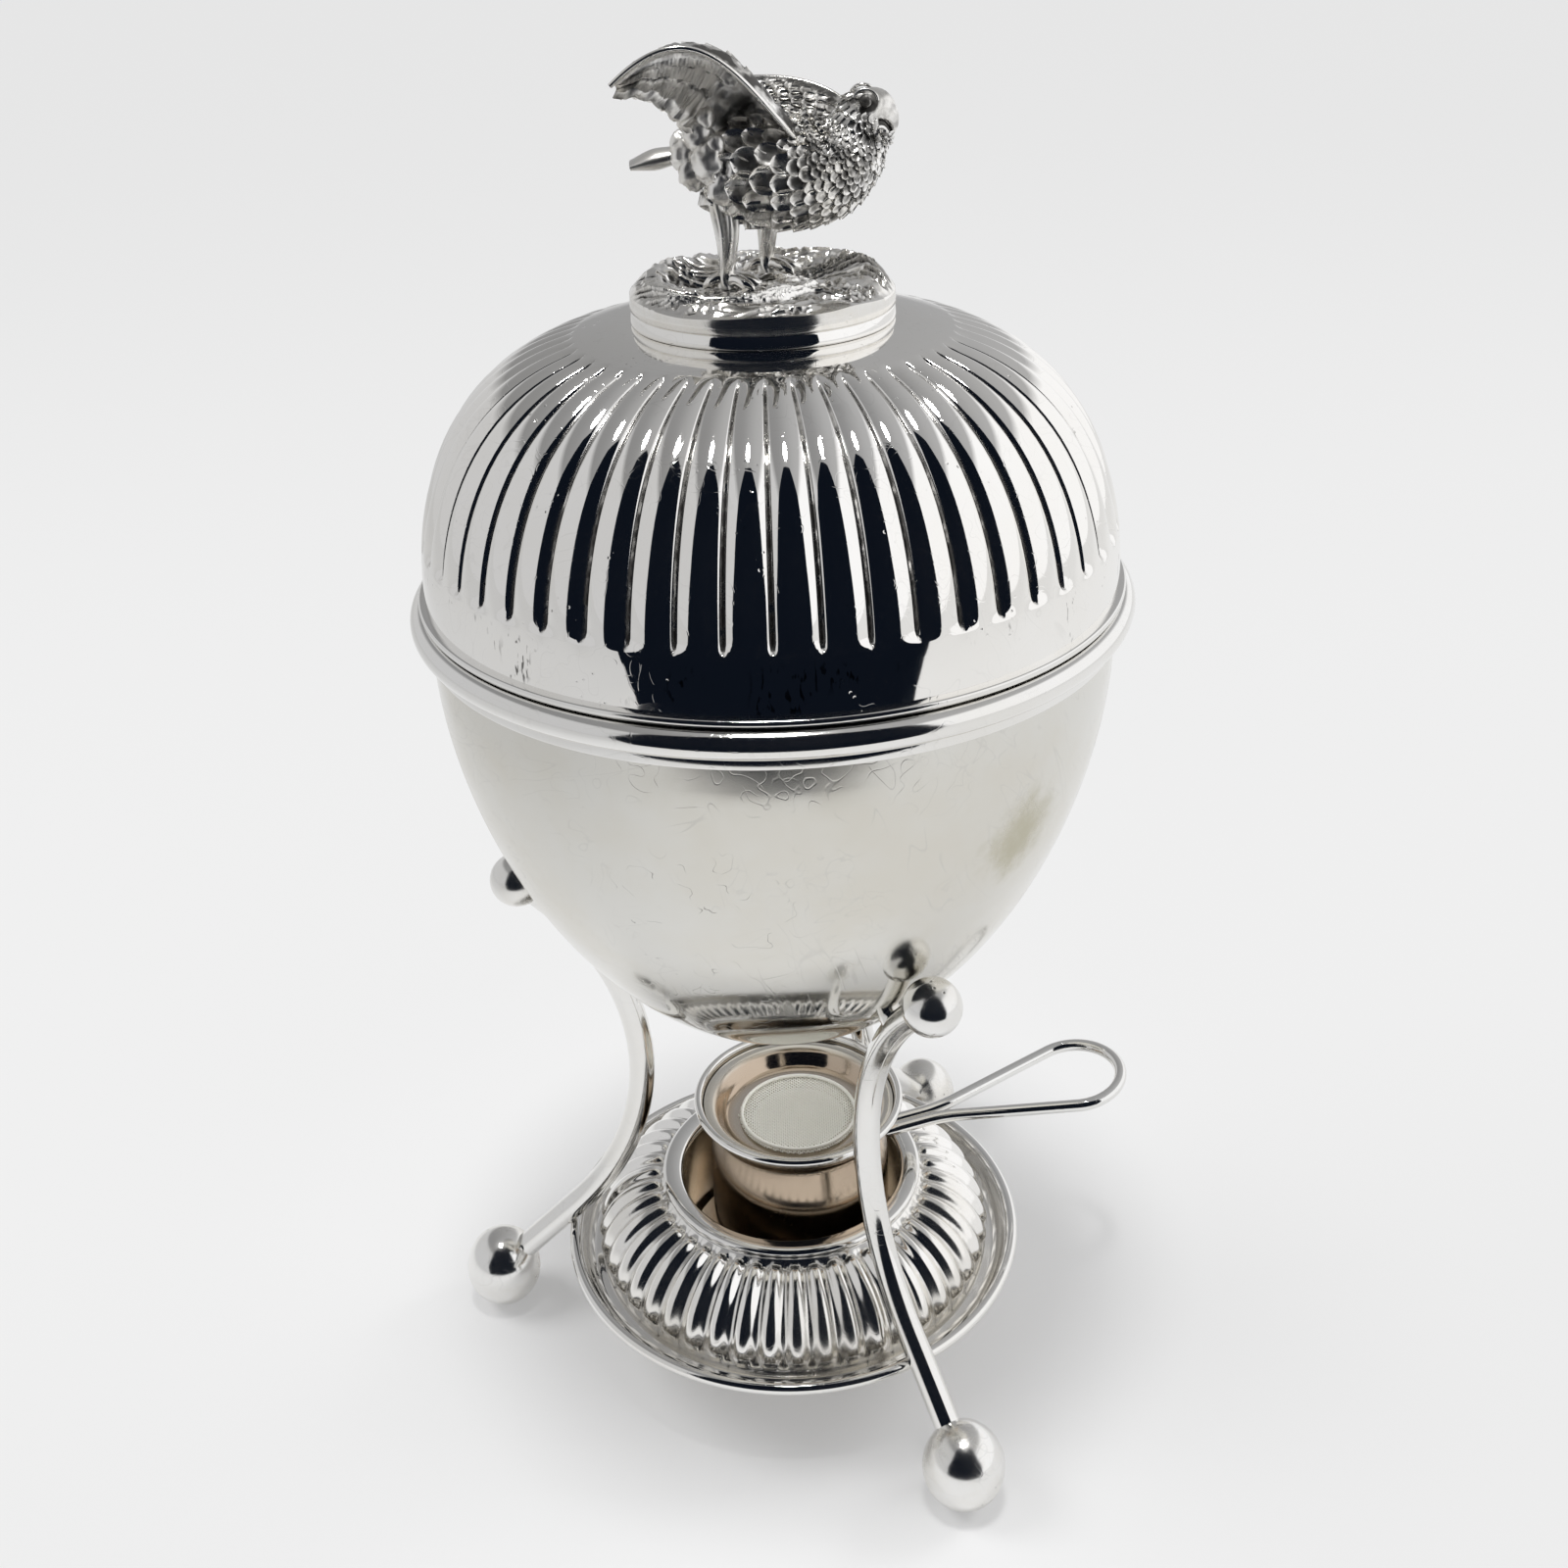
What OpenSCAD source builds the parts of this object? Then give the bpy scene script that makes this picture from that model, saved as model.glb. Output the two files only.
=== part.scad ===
// Egg coddler: an egg-shaped bowl on three bent legs, with a fluted lift-off lid,
// a cast bird finial, a spirit burner in a fluted tray and a lift-out rack for four eggs.
// Millimetres, +Z up. The origin is on the table, on the bowl's axis.

/* [Bowl] */
// Outside diameter of the bowl at its widest
bowl_d = 114; // [108:1:122]
// Height of the rounded part, from the bottom to the widest level
bowl_h = 79; // [74:1:86]
// Height of the straight neck above the widest level
neck_h = 10.4; // [9:0.2:14]
// Height of the bowl's bottom above the table
bowl_clear = 74; // [72:1:80]
// Sheet thickness of the bowl
bowl_wall = 0.9; // [0.6:0.1:1.4]

/* [Rim] */
// Diameter of the half-round bead wire
bead_d = 4.6; // [3.6:0.2:5.6]
// Height of the flat band under the bead
band_h = 1.8; // [1:0.2:3]
// Thickness of the flat band
band_t = 0.9; // [0.5:0.1:1.4]

/* [Lid] */
// Height of the dome, from its flange to its flat crown
lid_h = 41; // [38:1:46]
// Sheet thickness of the dome
lid_wall = 0.8; // [0.6:0.1:1.2]
// Height of the plain band below the flutes
plain_band_h = 8.6; // [6:0.2:12]
// Radius of the plain crown inside the flutes
crown_r = 29.5; // [27:0.5:34]
// Number of flutes round the lid
flute_count = 51; // [40:1:56]
// Depth of the valleys between the flutes
flute_depth = 1.1; // [0.8:0.1:1.6]
// How far the flange stands out from the dome
flange_out = 1.1; // [0.6:0.1:1.6]
// Thickness of the flange
flange_t = 1.2; // [0.8:0.1:1.8]
// Depth of the bezel that drops into the bowl
collar_h = 7; // [4:0.5:9]
// Sheet thickness of the bezel
collar_wall = 0.8; // [0.6:0.1:1.2]

/* [Finial] */
// Diameter of the plinth
plinth_d = 41.4; // [39:0.2:43]
// Height of the plinth
plinth_h = 2.2; // [1.6:0.1:3]
// Height of the plain edge of the cast ground
ground_edge_h = 2.6; // [2:0.1:3.4]
// Height of the rocks above the plain edge
rock_h = 2.6; // [1.8:0.1:3.4]
// Diameter of the stud that holds the finial
stud_d = 4; // [3:0.5:5]
// Height of the bird's back above the ground's edge
bird_rise = 17; // [15:0.5:19]

/* [Legs] */
// Diameter of the leg rod
leg_d = 5; // [4.4:0.2:5.6]
// Bend radius of the leg, on the rod's centre line
leg_bend_r = 52; // [49:1:56]
// How far the legs' waist lies inside the bowl's widest radius, on the rod's centre line
waist_inset = 28.3; // [26:0.1:29]
// Height of the waist above the table
waist_z = 63; // [61:1:66]
// Angle that the leg bends through below the waist
leg_sweep = 45; // [42:1:48]
// Angle that the arm bends through above the waist
arm_sweep = 48; // [44:1:50]
// Compass angle of the front leg
leg_turn = -61; // [-70:1:-50]
// Diameter of a ball foot
foot_d = 15.2; // [13:0.2:18]
// Height of a ball foot
foot_h = 17.6; // [15:0.2:20]
// Diameter of the ball on an arm
arm_ball_d = 10; // [8.6:0.2:10.4]

/* [Tray] */
// Height of the tray's wired edge above the table
tray_z = 20.2; // [18.5:0.1:22]
// Diameter of the wire in the tray's edge
tray_wire_d = 2.4; // [1.8:0.2:3]
// Sheet thickness of the tray
tray_wall = 0.8; // [0.6:0.1:1.2]
// Radius of the foot of the tray's fluted ring
ring_foot_r = 39.6; // [38.4:0.1:40.4]
// Height of the fluted ring above the tray's channel
ring_h = 17; // [14:0.5:19]
// Number of flutes round the tray
tray_flute_count = 46; // [36:1:50]
// Depth of the valleys between the tray's flutes
tray_flute_depth = 1; // [0.6:0.1:1.3]
// Inside diameter of the well that the burner stands in
well_d = 44.6; // [43.6:0.2:46]
// Depth of the well, from its collar's middle to its floor
well_depth = 20; // [17:0.5:22]
// Width of the flattened roll round the well
roll_w = 3.8; // [3:0.2:4.4]
// Height of the roll
roll_h = 1.8; // [1.4:0.1:2.4]

/* [Burner] */
// Height of the burner
burner_h = 38; // [35:0.5:41]
// Diameter of the burner's belly
belly_d = 35.8; // [34.4:0.2:37]
// Diameter of the neck under the rim
burner_neck_d = 34.6; // [33.4:0.2:36]
// Outside diameter of the wired rim
burner_rim_d = 41.4; // [40:0.2:43]
// Diameter of the wire in the rim
burner_wire_d = 1.6; // [1.2:0.1:2]
// Sheet thickness of the burner
burner_wall = 0.8; // [0.6:0.1:1.1]
// Diameter of the gauze
gauze_d = 24; // [21:0.5:26]
// Depth of the gauze below the rim
gauze_depth = 5.2; // [4:0.1:6]
// How far the loose burner stands off the well's axis, towards +X
burner_off = 1.8; // [0:0.2:2.4]

/* [Handle] */
// Diameter of the handle wire
handle_wire_d = 2.5; // [2:0.1:3]
// Reach of the loop's end arc, from the burner's axis
handle_reach = 58.8; // [54:0.2:64]
// Radius of the loop's end arc, on the wire's centre line
handle_tip_r = 9.4; // [8:0.1:10]
// Angle at which the wires spread
handle_spread = 16.3; // [14:0.1:18]
// Height of the handle's root above the burner's bottom
handle_z = 22.9; // [20:0.1:26]
// Angle by which the loop rises
handle_rise = 8.1; // [5:0.1:10]
// Compass angle of the handle
handle_turn = 10.9; // [-20:0.1:20]

/* [Egg rack] */
// Radius of an egg ring, on the wire's centre line
egg_ring_r = 18.6; // [17:0.1:19]
// Diameter of the rack's wire
rack_wire_d = 2.2; // [1.8:0.1:2.6]
// Distance of an egg ring's centre from the axis
egg_ring_reach = 28.5; // [28:0.1:30]
// Height of the egg rings above the bowl's bottom
egg_ring_z = 52; // [49:0.5:56]
// Height of the plate under the eggs above the bowl's bottom
rack_plate_z = 20; // [18:0.5:24]
// Thickness of the plate
rack_plate_t = 1.2; // [0.8:0.1:1.6]
// Diameter of the holes that the eggs stand in
egg_hole_d = 19; // [16:0.5:21]
// Diameter of the stem
stem_d = 4; // [3.4:0.2:5]
// Height of the stem's top above the egg rings
stem_rise = 24; // [20:0.5:28]
// Radius of the lifting ring, on the wire's centre line
lift_ring_r = 9; // [8:0.5:11]

/* [Hidden] */
$fn = 72;

// Clearances
seat_gap = 0.3;
collar_gap = 0.4;
solder_gap = 0.05;
stud_gap = 0.2;
// Straight lengths of a wire are a hair thicker than its bends and reach a little way into them
weld_step = 0.04;
weld_lap = 0.05;

// Colours
silver = [0.80, 0.80, 0.78];
bright_silver = [0.88, 0.88, 0.87];
warm_silver = [0.72, 0.66, 0.58];
gauze_grey = [0.62, 0.61, 0.57];
pad_white = [0.88, 0.86, 0.80];

// Levels
widest_z = bowl_clear + bowl_h;
rim_z = widest_z + neck_h;
bead_z = rim_z - bead_d / 2;
flange_z = rim_z + seat_gap;
lid_z = flange_z + flange_t;
crown_z = lid_z + lid_h;
seam_z = crown_z + plinth_h;
ground_z = seam_z + ground_edge_h;

// Bowl outline: a superellipse below the widest level
bowl_r = bowl_d / 2;
bowl_m = 1.86;
bowl_n = 1.79;
bowl_steps = 30;
function bowl_curve(r, h) = [for (i = [0:bowl_steps])
    let (a = 90 * i / bowl_steps)
    [r * pow(cos(a), 2 / bowl_m), widest_z - h * pow(sin(a), 2 / bowl_n)]];
function bowl_inner_z(r) =
    let (w = bowl_r - bowl_wall, h = bowl_h - bowl_wall)
    widest_z - h * pow(1 - pow(r / w, bowl_m), 1 / bowl_n);
function bowl_inner_r(z) =
    let (w = bowl_r - bowl_wall, h = bowl_h - bowl_wall)
    w * pow(1 - pow((widest_z - z) / h, bowl_n), 1 / bowl_m);

// The bowl as a filled solid, also used to cope what is soldered to it
module bowl_solid() {
    rotate_extrude() polygon(concat([[0, rim_z], [bowl_r, rim_z]], bowl_curve(bowl_r, bowl_h)));
}

module bowl() {
    inner_r = bowl_r - bowl_wall;
    outer = concat([[bowl_r, rim_z]], bowl_curve(bowl_r, bowl_h));
    inner = bowl_curve(inner_r, bowl_h - bowl_wall);
    back = [for (i = [len(inner) - 1:-1:0]) inner[i]];
    color(silver) rotate_extrude() polygon(concat(outer, back, [[inner_r, rim_z]]));
}

bead_out = 0.7;
module rim_bead() {
    color(bright_silver) difference() {
        translate([0, 0, bead_z]) rotate_extrude() translate([bowl_r + bead_out, 0]) circle(d = bead_d);
        translate([0, 0, rim_z - 2 * bead_d]) cylinder(r = bowl_r, h = 4 * bead_d);
    }
}

module rim_band() {
    color(silver) translate([0, 0, rim_z - bead_d - band_h]) difference() {
        cylinder(r = bowl_r + band_t, h = band_h);
        translate([0, 0, -band_h]) cylinder(r = bowl_r, h = 3 * band_h);
    }
}

// Leg rod: one bend from the foot to the arm, with straight ends
leg_step = 120;
leg_r = leg_d / 2;
waist_r = bowl_r - waist_inset;
leg_end_d = leg_d + weld_step;
bend_axis_r = waist_r + leg_bend_r;
leg_end = [bend_axis_r - leg_bend_r * cos(leg_sweep), waist_z - leg_bend_r * sin(leg_sweep)];
arm_end = [bend_axis_r - leg_bend_r * cos(arm_sweep), waist_z + leg_bend_r * sin(arm_sweep)];
foot_flat = 0.12;
foot_z = foot_h / 2 - foot_flat;
foot_run = (leg_end[1] - foot_z) / cos(leg_sweep);
foot_reach = leg_end[0] + foot_run * sin(leg_sweep);
foot_seat = 3;
arm_run = 4;
arm_seat = 1.5;
arm_ball_x = arm_end[0] + arm_run * sin(arm_sweep);
arm_ball_z = arm_end[1] + arm_run * cos(arm_sweep);
lug_angle = 36;
lug_reach = 7;

// Tray edge: its wire is let a little into each leg
tray_wire_r = tray_wire_d / 2;
wire_bite = 0.2;
leg_x_at_tray = leg_end[0] + (leg_end[1] - tray_z) * tan(leg_sweep);
tray_rim_r = leg_x_at_tray - (leg_r + tray_wire_r - wire_bite) / cos(leg_sweep);

module tray_wire() {
    translate([0, 0, tray_z]) rotate_extrude() translate([tray_rim_r, 0]) circle(d = tray_wire_d);
}

module leg(turn) {
    color(bright_silver) rotate([0, 0, turn]) difference() {
        union() {
            translate([bend_axis_r, 0, waist_z]) rotate([90, 0, 0]) rotate([0, 0, 180 - arm_sweep])
                rotate_extrude(angle = arm_sweep + leg_sweep) translate([leg_bend_r, 0]) circle(d = leg_d);
            translate([leg_end[0], 0, leg_end[1]]) rotate([0, 180 - leg_sweep, 0])
                translate([0, 0, -weld_lap]) cylinder(d = leg_end_d, h = foot_run - foot_seat + weld_lap);
            translate([arm_end[0], 0, arm_end[1]]) rotate([0, arm_sweep, 0])
                translate([0, 0, -weld_lap]) cylinder(d = leg_end_d, h = arm_run - arm_seat + weld_lap);
            translate([bend_axis_r - leg_bend_r * cos(lug_angle), 0, waist_z + leg_bend_r * sin(lug_angle)])
                rotate([0, lug_angle - 90, 0]) cylinder(d = 0.85 * leg_d, h = lug_reach);
        }
        bowl_solid();
        tray_wire();
    }
}
module leg_front() leg(leg_turn);
module leg_rear() leg(leg_turn + leg_step);
module leg_left() leg(leg_turn + 2 * leg_step);

// Drilled ball foot, a little taller than wide, with a small flat under it
foot_steps = 24;
module foot(turn) {
    half = [for (i = [0:foot_steps])
        let (a = 180 * i / foot_steps - 90)
        [foot_d / 2 * cos(a), foot_h / 2 * sin(a)]];
    color(bright_silver) rotate([0, 0, turn]) difference() {
        translate([foot_reach, 0, foot_z]) rotate_extrude() polygon(half);
        translate([foot_reach - foot_d, -foot_d, -foot_h]) cube([2 * foot_d, 2 * foot_d, foot_h]);
        translate([foot_reach, 0, foot_z]) rotate([0, -leg_sweep, 0]) translate([0, 0, foot_seat])
            cylinder(d = leg_end_d, h = foot_h);
    }
}
module foot_front() foot(leg_turn);
module foot_rear() foot(leg_turn + leg_step);
module foot_left() foot(leg_turn + 2 * leg_step);

module arm_ball(turn) {
    color(bright_silver) rotate([0, 0, turn]) translate([arm_ball_x, 0, arm_ball_z]) difference() {
        sphere(d = arm_ball_d);
        rotate([0, arm_sweep + 180, 0]) translate([0, 0, arm_seat]) cylinder(d = leg_end_d, h = arm_ball_d);
    }
}
module ball_front() arm_ball(leg_turn);
module ball_rear() arm_ball(leg_turn + leg_step);
module ball_left() arm_ball(leg_turn + 2 * leg_step);

// A closed skin of rings: each ring is a list of points, and the last ring joins the first
function ring_faces(rows, cols) = [for (r = [0:rows - 1], c = [0:cols - 1], k = [0:1])
    let (s = (r + 1) % rows, d = (c + 1) % cols)
    k == 0 ? [r * cols + c, s * cols + c, s * cols + d] : [r * cols + c, s * cols + d, r * cols + d]];

// Flutes: convex reeds between sharp valleys, with rounded ends
function reed(i, segments) = pow(2 * (i % segments) / segments - 1, 2);
function lerp(a, b, t) = a + (b - a) * t;

// Tray: channel, fluted ring and neck, as one pressed sheet
well_r = well_d / 2;
channel_z = tray_z - 3.6;
ring_top_z = channel_z + ring_h;
collar_r = well_r + roll_w / 2;
collar_z = ring_top_z + roll_h / 2 + seat_gap;
ring_neck_r = collar_r + 1.2;
channel_rise = 0.6;
tray_edge_r = tray_rim_r - tray_wire_r - solder_gap;
tray_flute_segments = 3;
tray_flute_rows = [0, 0.16, 0.2, 0.4, 0.65, 0.88, 1];
tray_flute_fade = [0, 0, 0.85, 1, 1, 0.8, 0];
tray_under_rows = [10, 9, 7, 5, 3, 2, 0];
tray_profile = concat(
    [[tray_edge_r, tray_z, 0],
     [lerp(tray_edge_r, ring_foot_r, 0.25), lerp(tray_z, channel_z, 0.7), 0],
     [lerp(tray_edge_r, ring_foot_r, 0.6), channel_z, 0]],
    [for (i = [0:len(tray_flute_rows) - 1])
        let (a = 90 * tray_flute_rows[i], h = ring_h - channel_rise)
        [lerp(ring_neck_r, ring_foot_r, cos(a)), channel_z + channel_rise + h * sin(a), tray_flute_fade[i]]],
    [[well_r + tray_wall + seat_gap, ring_top_z + 0.1, 0]]);
function under_point(p, i) =
    let (a = p[max(i - 1, 0)], b = p[min(i + 1, len(p) - 1)], t = [b[0] - a[0], b[1] - a[1]] / norm(b - a))
    i == 0 ? [p[0][0], p[0][1] - tray_wall, 0]
        : [p[i][0] - tray_wall * t[1], p[i][1] + tray_wall * t[0], p[i][2]];
module tray() {
    cols = tray_flute_count * tray_flute_segments;
    under = [for (i = tray_under_rows) under_point(tray_profile, i)];
    loop = concat(tray_profile, under);
    points = [for (p = loop, i = [0:cols - 1])
        let (a = 360 * i / cols, sink = tray_flute_depth * p[2] * reed(i, tray_flute_segments))
        [(p[0] - 0.6 * sink) * cos(a), (p[0] - 0.6 * sink) * sin(a), p[1] - 0.8 * sink]];
    color(silver) polyhedron(points, ring_faces(len(loop), cols), convexity = 6);
}

module tray_rim() {
    color(bright_silver) tray_wire();
}

// Flattened roll that hides the joint of the tray and its well
roll_steps = 24;
module well_collar() {
    oval = [for (i = [0:roll_steps - 1])
        let (a = 360 * i / roll_steps)
        [collar_r + roll_w / 2 * cos(a), collar_z + roll_h / 2 * sin(a)]];
    color(bright_silver) rotate_extrude() polygon(oval);
}

well_floor_z = collar_z - well_depth;
well_top_z = ring_top_z;
module well_cup() {
    color(silver) difference() {
        translate([0, 0, well_floor_z - tray_wall])
            cylinder(r = well_r + tray_wall, h = well_top_z - well_floor_z + tray_wall);
        translate([0, 0, well_floor_z]) cylinder(r = well_r, h = 2 * well_depth);
    }
}

// Lid dome: a superellipse of revolution with a flat crown
lid_r = bowl_r + 0.2;
dome_m = 3.6;
dome_n = 2.1;
dome_h = lid_h / 0.986;
stud_hole_r = stud_d / 2 + stud_gap;
dome_rows = 5;
flute_segments = 4;
flute_valley_turn = -90.2;
function dome_point(a, sink) =
    let (r = lid_r * pow(cos(a), 2 / dome_m),
         h = dome_h * pow(sin(a), 2 / dome_n),
         k = 1 - sink / norm([r, h]))
    [r * k, lid_z + h * k];
band_angle = asin(pow(plain_band_h / dome_h, dome_n / 2));
crown_angle = acos(pow(crown_r / lid_r, dome_m / 2));
top_angle = asin(pow(lid_h / dome_h, dome_n / 2));
dome_angles = concat([[0, 0], [band_angle, 0], [lerp(band_angle, crown_angle, 0.03), 0.8]],
    [for (i = [1:dome_rows]) [lerp(band_angle, crown_angle, i / (dome_rows + 1)), 1]],
    [[lerp(band_angle, crown_angle, 0.97), 0.7], [crown_angle, 0], [top_angle, 0]]);
dome_inner_angles = [for (i = [len(dome_angles) - 1:-1:0]) if (i % 2 == 0) dome_angles[i]];
module lid_dome() {
    cols = flute_count * flute_segments;
    outer = [for (q = dome_angles, i = [0:cols - 1])
        let (p = dome_point(q[0], flute_depth * q[1] * reed(i, flute_segments)),
             a = 360 * i / cols + flute_valley_turn)
        [p[0] * cos(a), p[0] * sin(a), p[1]]];
    hole = [for (z = [crown_z, dome_point(top_angle, lid_wall)[1]], i = [0:cols - 1])
        let (a = 360 * i / cols + flute_valley_turn)
        [stud_hole_r * cos(a), stud_hole_r * sin(a), z]];
    inner = [for (q = dome_inner_angles, i = [0:cols - 1])
        let (p = dome_point(q[0], lid_wall + flute_depth * q[1] * reed(i, flute_segments)),
             a = 360 * i / cols + flute_valley_turn)
        [p[0] * cos(a), p[0] * sin(a), p[1]]];
    rows = len(dome_angles) + 2 + len(dome_inner_angles);
    color(bright_silver) polyhedron(concat(outer, hole, inner), ring_faces(rows, cols), convexity = 6);
}

bezel_r = bowl_r - bowl_wall - collar_gap;
module lid_flange() {
    edge = flange_t / 2;
    color(bright_silver) translate([0, 0, flange_z]) difference() {
        union() {
            cylinder(r = lid_r + flange_out - edge, h = flange_t);
            translate([0, 0, edge]) rotate_extrude() translate([lid_r + flange_out - edge, 0])
                circle(r = edge);
        }
        translate([0, 0, -flange_t]) cylinder(r = bezel_r, h = 3 * flange_t);
    }
}

module lid_collar() {
    color(silver) translate([0, 0, lid_z - collar_h]) difference() {
        cylinder(r = bezel_r, h = collar_h);
        translate([0, 0, -collar_h]) cylinder(r = bezel_r - collar_wall, h = 3 * collar_h);
    }
}

module finial_plinth() {
    foot_round = 0.5;
    color(bright_silver) translate([0, 0, crown_z]) difference() {
        rotate_extrude() polygon([[0, 0], [plinth_d / 2 - foot_round, 0], [plinth_d / 2, foot_round],
            [plinth_d / 2 - foot_round, plinth_h], [0, plinth_h]]);
        translate([0, 0, -plinth_h]) cylinder(r = stud_hole_r, h = 3 * plinth_h);
    }
}

// Cast ground: a plain round edge under rocks whose ledges swirl round the bird
rock_cols = 60;
rock_rows = [[1.0, 0], [1.0, 0.35], [0.94, 0.75], [0.84, 0.9], [0.7, 0.75], [0.5, 0.55], [0.28, 0.6]];
rock_waves = [[3, 0.25, 40], [5, 0.22, 110], [8, 0.16, 200], [13, 0.1, 15]];
function rock_wave(a, t) = let (s = [for (w = rock_waves) w[1] * sin(w[0] * a + w[2] + 160 * t)])
    s * [for (w = rock_waves) 1];
stud_depth = 3.4;
module rock_base() {
    edge_r = plinth_d / 2 - 0.2;
    rim = [for (i = [0:rock_cols - 1])
        let (a = 360 * i / rock_cols)
        [edge_r * cos(a), edge_r * sin(a), seam_z]];
    rocks = [for (q = rock_rows, i = [0:rock_cols - 1])
        let (a = 360 * i / rock_cols,
             r = edge_r * q[0] * (1 + 0.05 * rock_wave(a, q[0])),
             lift = q[1] <= 0 ? 0.3 * rock_wave(a, 0.6) : q[1] * rock_h * (1 + 0.8 * rock_wave(a, q[1])))
        [r * cos(a), r * sin(a), ground_z - 0.4 + lift]];
    last = len(rock_rows) + 1;
    skin = [for (r = [0:last - 2], c = [0:rock_cols - 1], k = [0:1])
        let (d = (c + 1) % rock_cols, p = r * rock_cols, s = p + rock_cols)
        k == 0 ? [p + c, s + c, s + d] : [p + c, s + d, p + d]];
    floor = [[for (c = [0:rock_cols - 1]) c]];
    roof = [[for (c = [rock_cols - 1:-1:0]) (last - 1) * rock_cols + c]];
    color(silver) difference() {
        polyhedron(concat(rim, rocks), concat(floor, skin, roof), convexity = 4);
        translate([0, 0, seam_z - 1]) cylinder(d = stud_d, h = stud_depth + 1);
    }
}

// Bird: rings along its spine, from the tail's tip to the beak: reach, height, half width, half height
bird_z = ground_z + bird_rise;
bird_spine = [[-19, 1.4, 2.6, 0.5], [-15.5, 2.2, 2.8, 0.9], [-12, 2.7, 2.4, 1.3], [-10.3, 2.9, 3.6, 2.8],
    [-7, 2.4, 5.8, 5.0], [-1.5, 0.6, 7.8, 7.0], [5, -0.3, 9.0, 7.6], [10, 0.5, 8.4, 7.6],
    [13.2, 2.8, 6.6, 6.2], [14.8, 5.6, 5.0, 5.0], [15.8, 7.8, 4.4, 4.4], [17.6, 8.9, 3.2, 3.4],
    [19.2, 8.2, 1.5, 1.6], [20.2, 6.6, 0.3, 0.3]];
bird_sides = 18;
function spine_turn(i) =
    let (a = bird_spine[max(i - 1, 0)], b = bird_spine[min(i + 1, len(bird_spine) - 1)])
    atan2(b[1] - a[1], b[0] - a[0]);
module bird() {
    last = len(bird_spine) - 1;
    points = [for (i = [0:last], k = [0:bird_sides - 1])
        let (s = bird_spine[i], a = 360 * k / bird_sides, t = spine_turn(i))
        [s[0] - s[3] * sin(a) * sin(t), s[2] * cos(a), bird_z + s[1] + s[3] * sin(a) * cos(t)]];
    skin = [for (r = [0:last - 1], c = [0:bird_sides - 1], k = [0:1])
        let (d = (c + 1) % bird_sides, p = r * bird_sides, s = p + bird_sides)
        k == 0 ? [p + c, s + c, s + d] : [p + c, s + d, p + d]];
    tail_cap = [[for (c = [0:bird_sides - 1]) c]];
    beak_cap = [[for (c = [bird_sides - 1:-1:0]) last * bird_sides + c]];
    color(silver) polyhedron(points, concat(tail_cap, skin, beak_cap), convexity = 4);
}

// Wing: a bowed blade between a leading and a trailing edge, each a curve with four guide points
// from the shoulder to the wing's tip, set from the middle of the bird's body
wing_rows = 9;
wing_chords = 5;
wing_t = 1.4;
right_front = [[7.2, -5.1, 3.3], [-1.2, -10.2, 11.9], [-7, -12, 25.4], [-20.4, -10.9, 13.6]];
right_back = [[-7.4, -4.6, 2.1], [-8.4, -5.1, 3.7], [-12.2, -6.8, 13.6], [-20, -11, 12.3]];
right_bow = [2, 4.2, 1.6];
left_front = [[14.5, 4.5, 7], [11, 8, 12.5], [-2, 11, 13.5], [-14, 13, 9]];
left_back = [[-6, 5, 1.3], [-6, 9, 4], [-9, 11.5, 5], [-13.6, 12.9, 7.4]];
left_bow = [1, -3, 1];
function curve(p, t) = pow(1 - t, 3) * p[0] + 3 * pow(1 - t, 2) * t * p[1]
    + 3 * (1 - t) * t * t * p[2] + pow(t, 3) * p[3];
function wing_point(front, back, bow, u, v, half) =
    let (a = curve(front, u),
         b = curve(back, u),
         p = lerp(a, b, v) + bow * sin(180 * v) * (1 - 0.5 * u))
    [p[0], p[1] + half, p[2]];
module wing(front, back, bow) {
    cols = 2 * (wing_chords + 1);
    points = [for (i = [0:wing_rows], k = [0:cols - 1])
        let (u = i / wing_rows,
             v = k <= wing_chords ? k / wing_chords : (cols - 1 - k) / wing_chords,
             half = (k <= wing_chords ? 0.5 : -0.5) * wing_t * (1 - 0.5 * u))
        wing_point(front, back, bow, u, v, half)];
    skin = [for (r = [0:wing_rows - 1], c = [0:cols - 1], k = [0:1])
        let (d = (c + 1) % cols, p = r * cols, s = p + cols)
        k == 0 ? [p + c, s + c, s + d] : [p + c, s + d, p + d]];
    last = wing_rows * cols;
    root = [for (c = [0:wing_chords - 1], k = [0:1])
        let (e = cols - 1 - c)
        k == 0 ? [c, c + 1, e - 1] : [c, e - 1, e]];
    tip = [for (f = root) [last + f[2], last + f[1], last + f[0]]];
    color(silver) translate([0, 0, bird_z]) polyhedron(points, concat(root, skin, tip), convexity = 4);
}
module wing_right() wing(right_front, right_back, right_bow);
module wing_left() wing(left_front, left_back, left_bow);

// Bird's leg: a feathered leg that tapers to its foot, with three toes ahead and one behind
ankle_d = 2.4;
thigh_d = 5.4;
toe_d = 1.8;
toe_tip_d = 0.9;
toe_length = 5;
toe_turns = [-35, 0, 35, 180];
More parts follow.
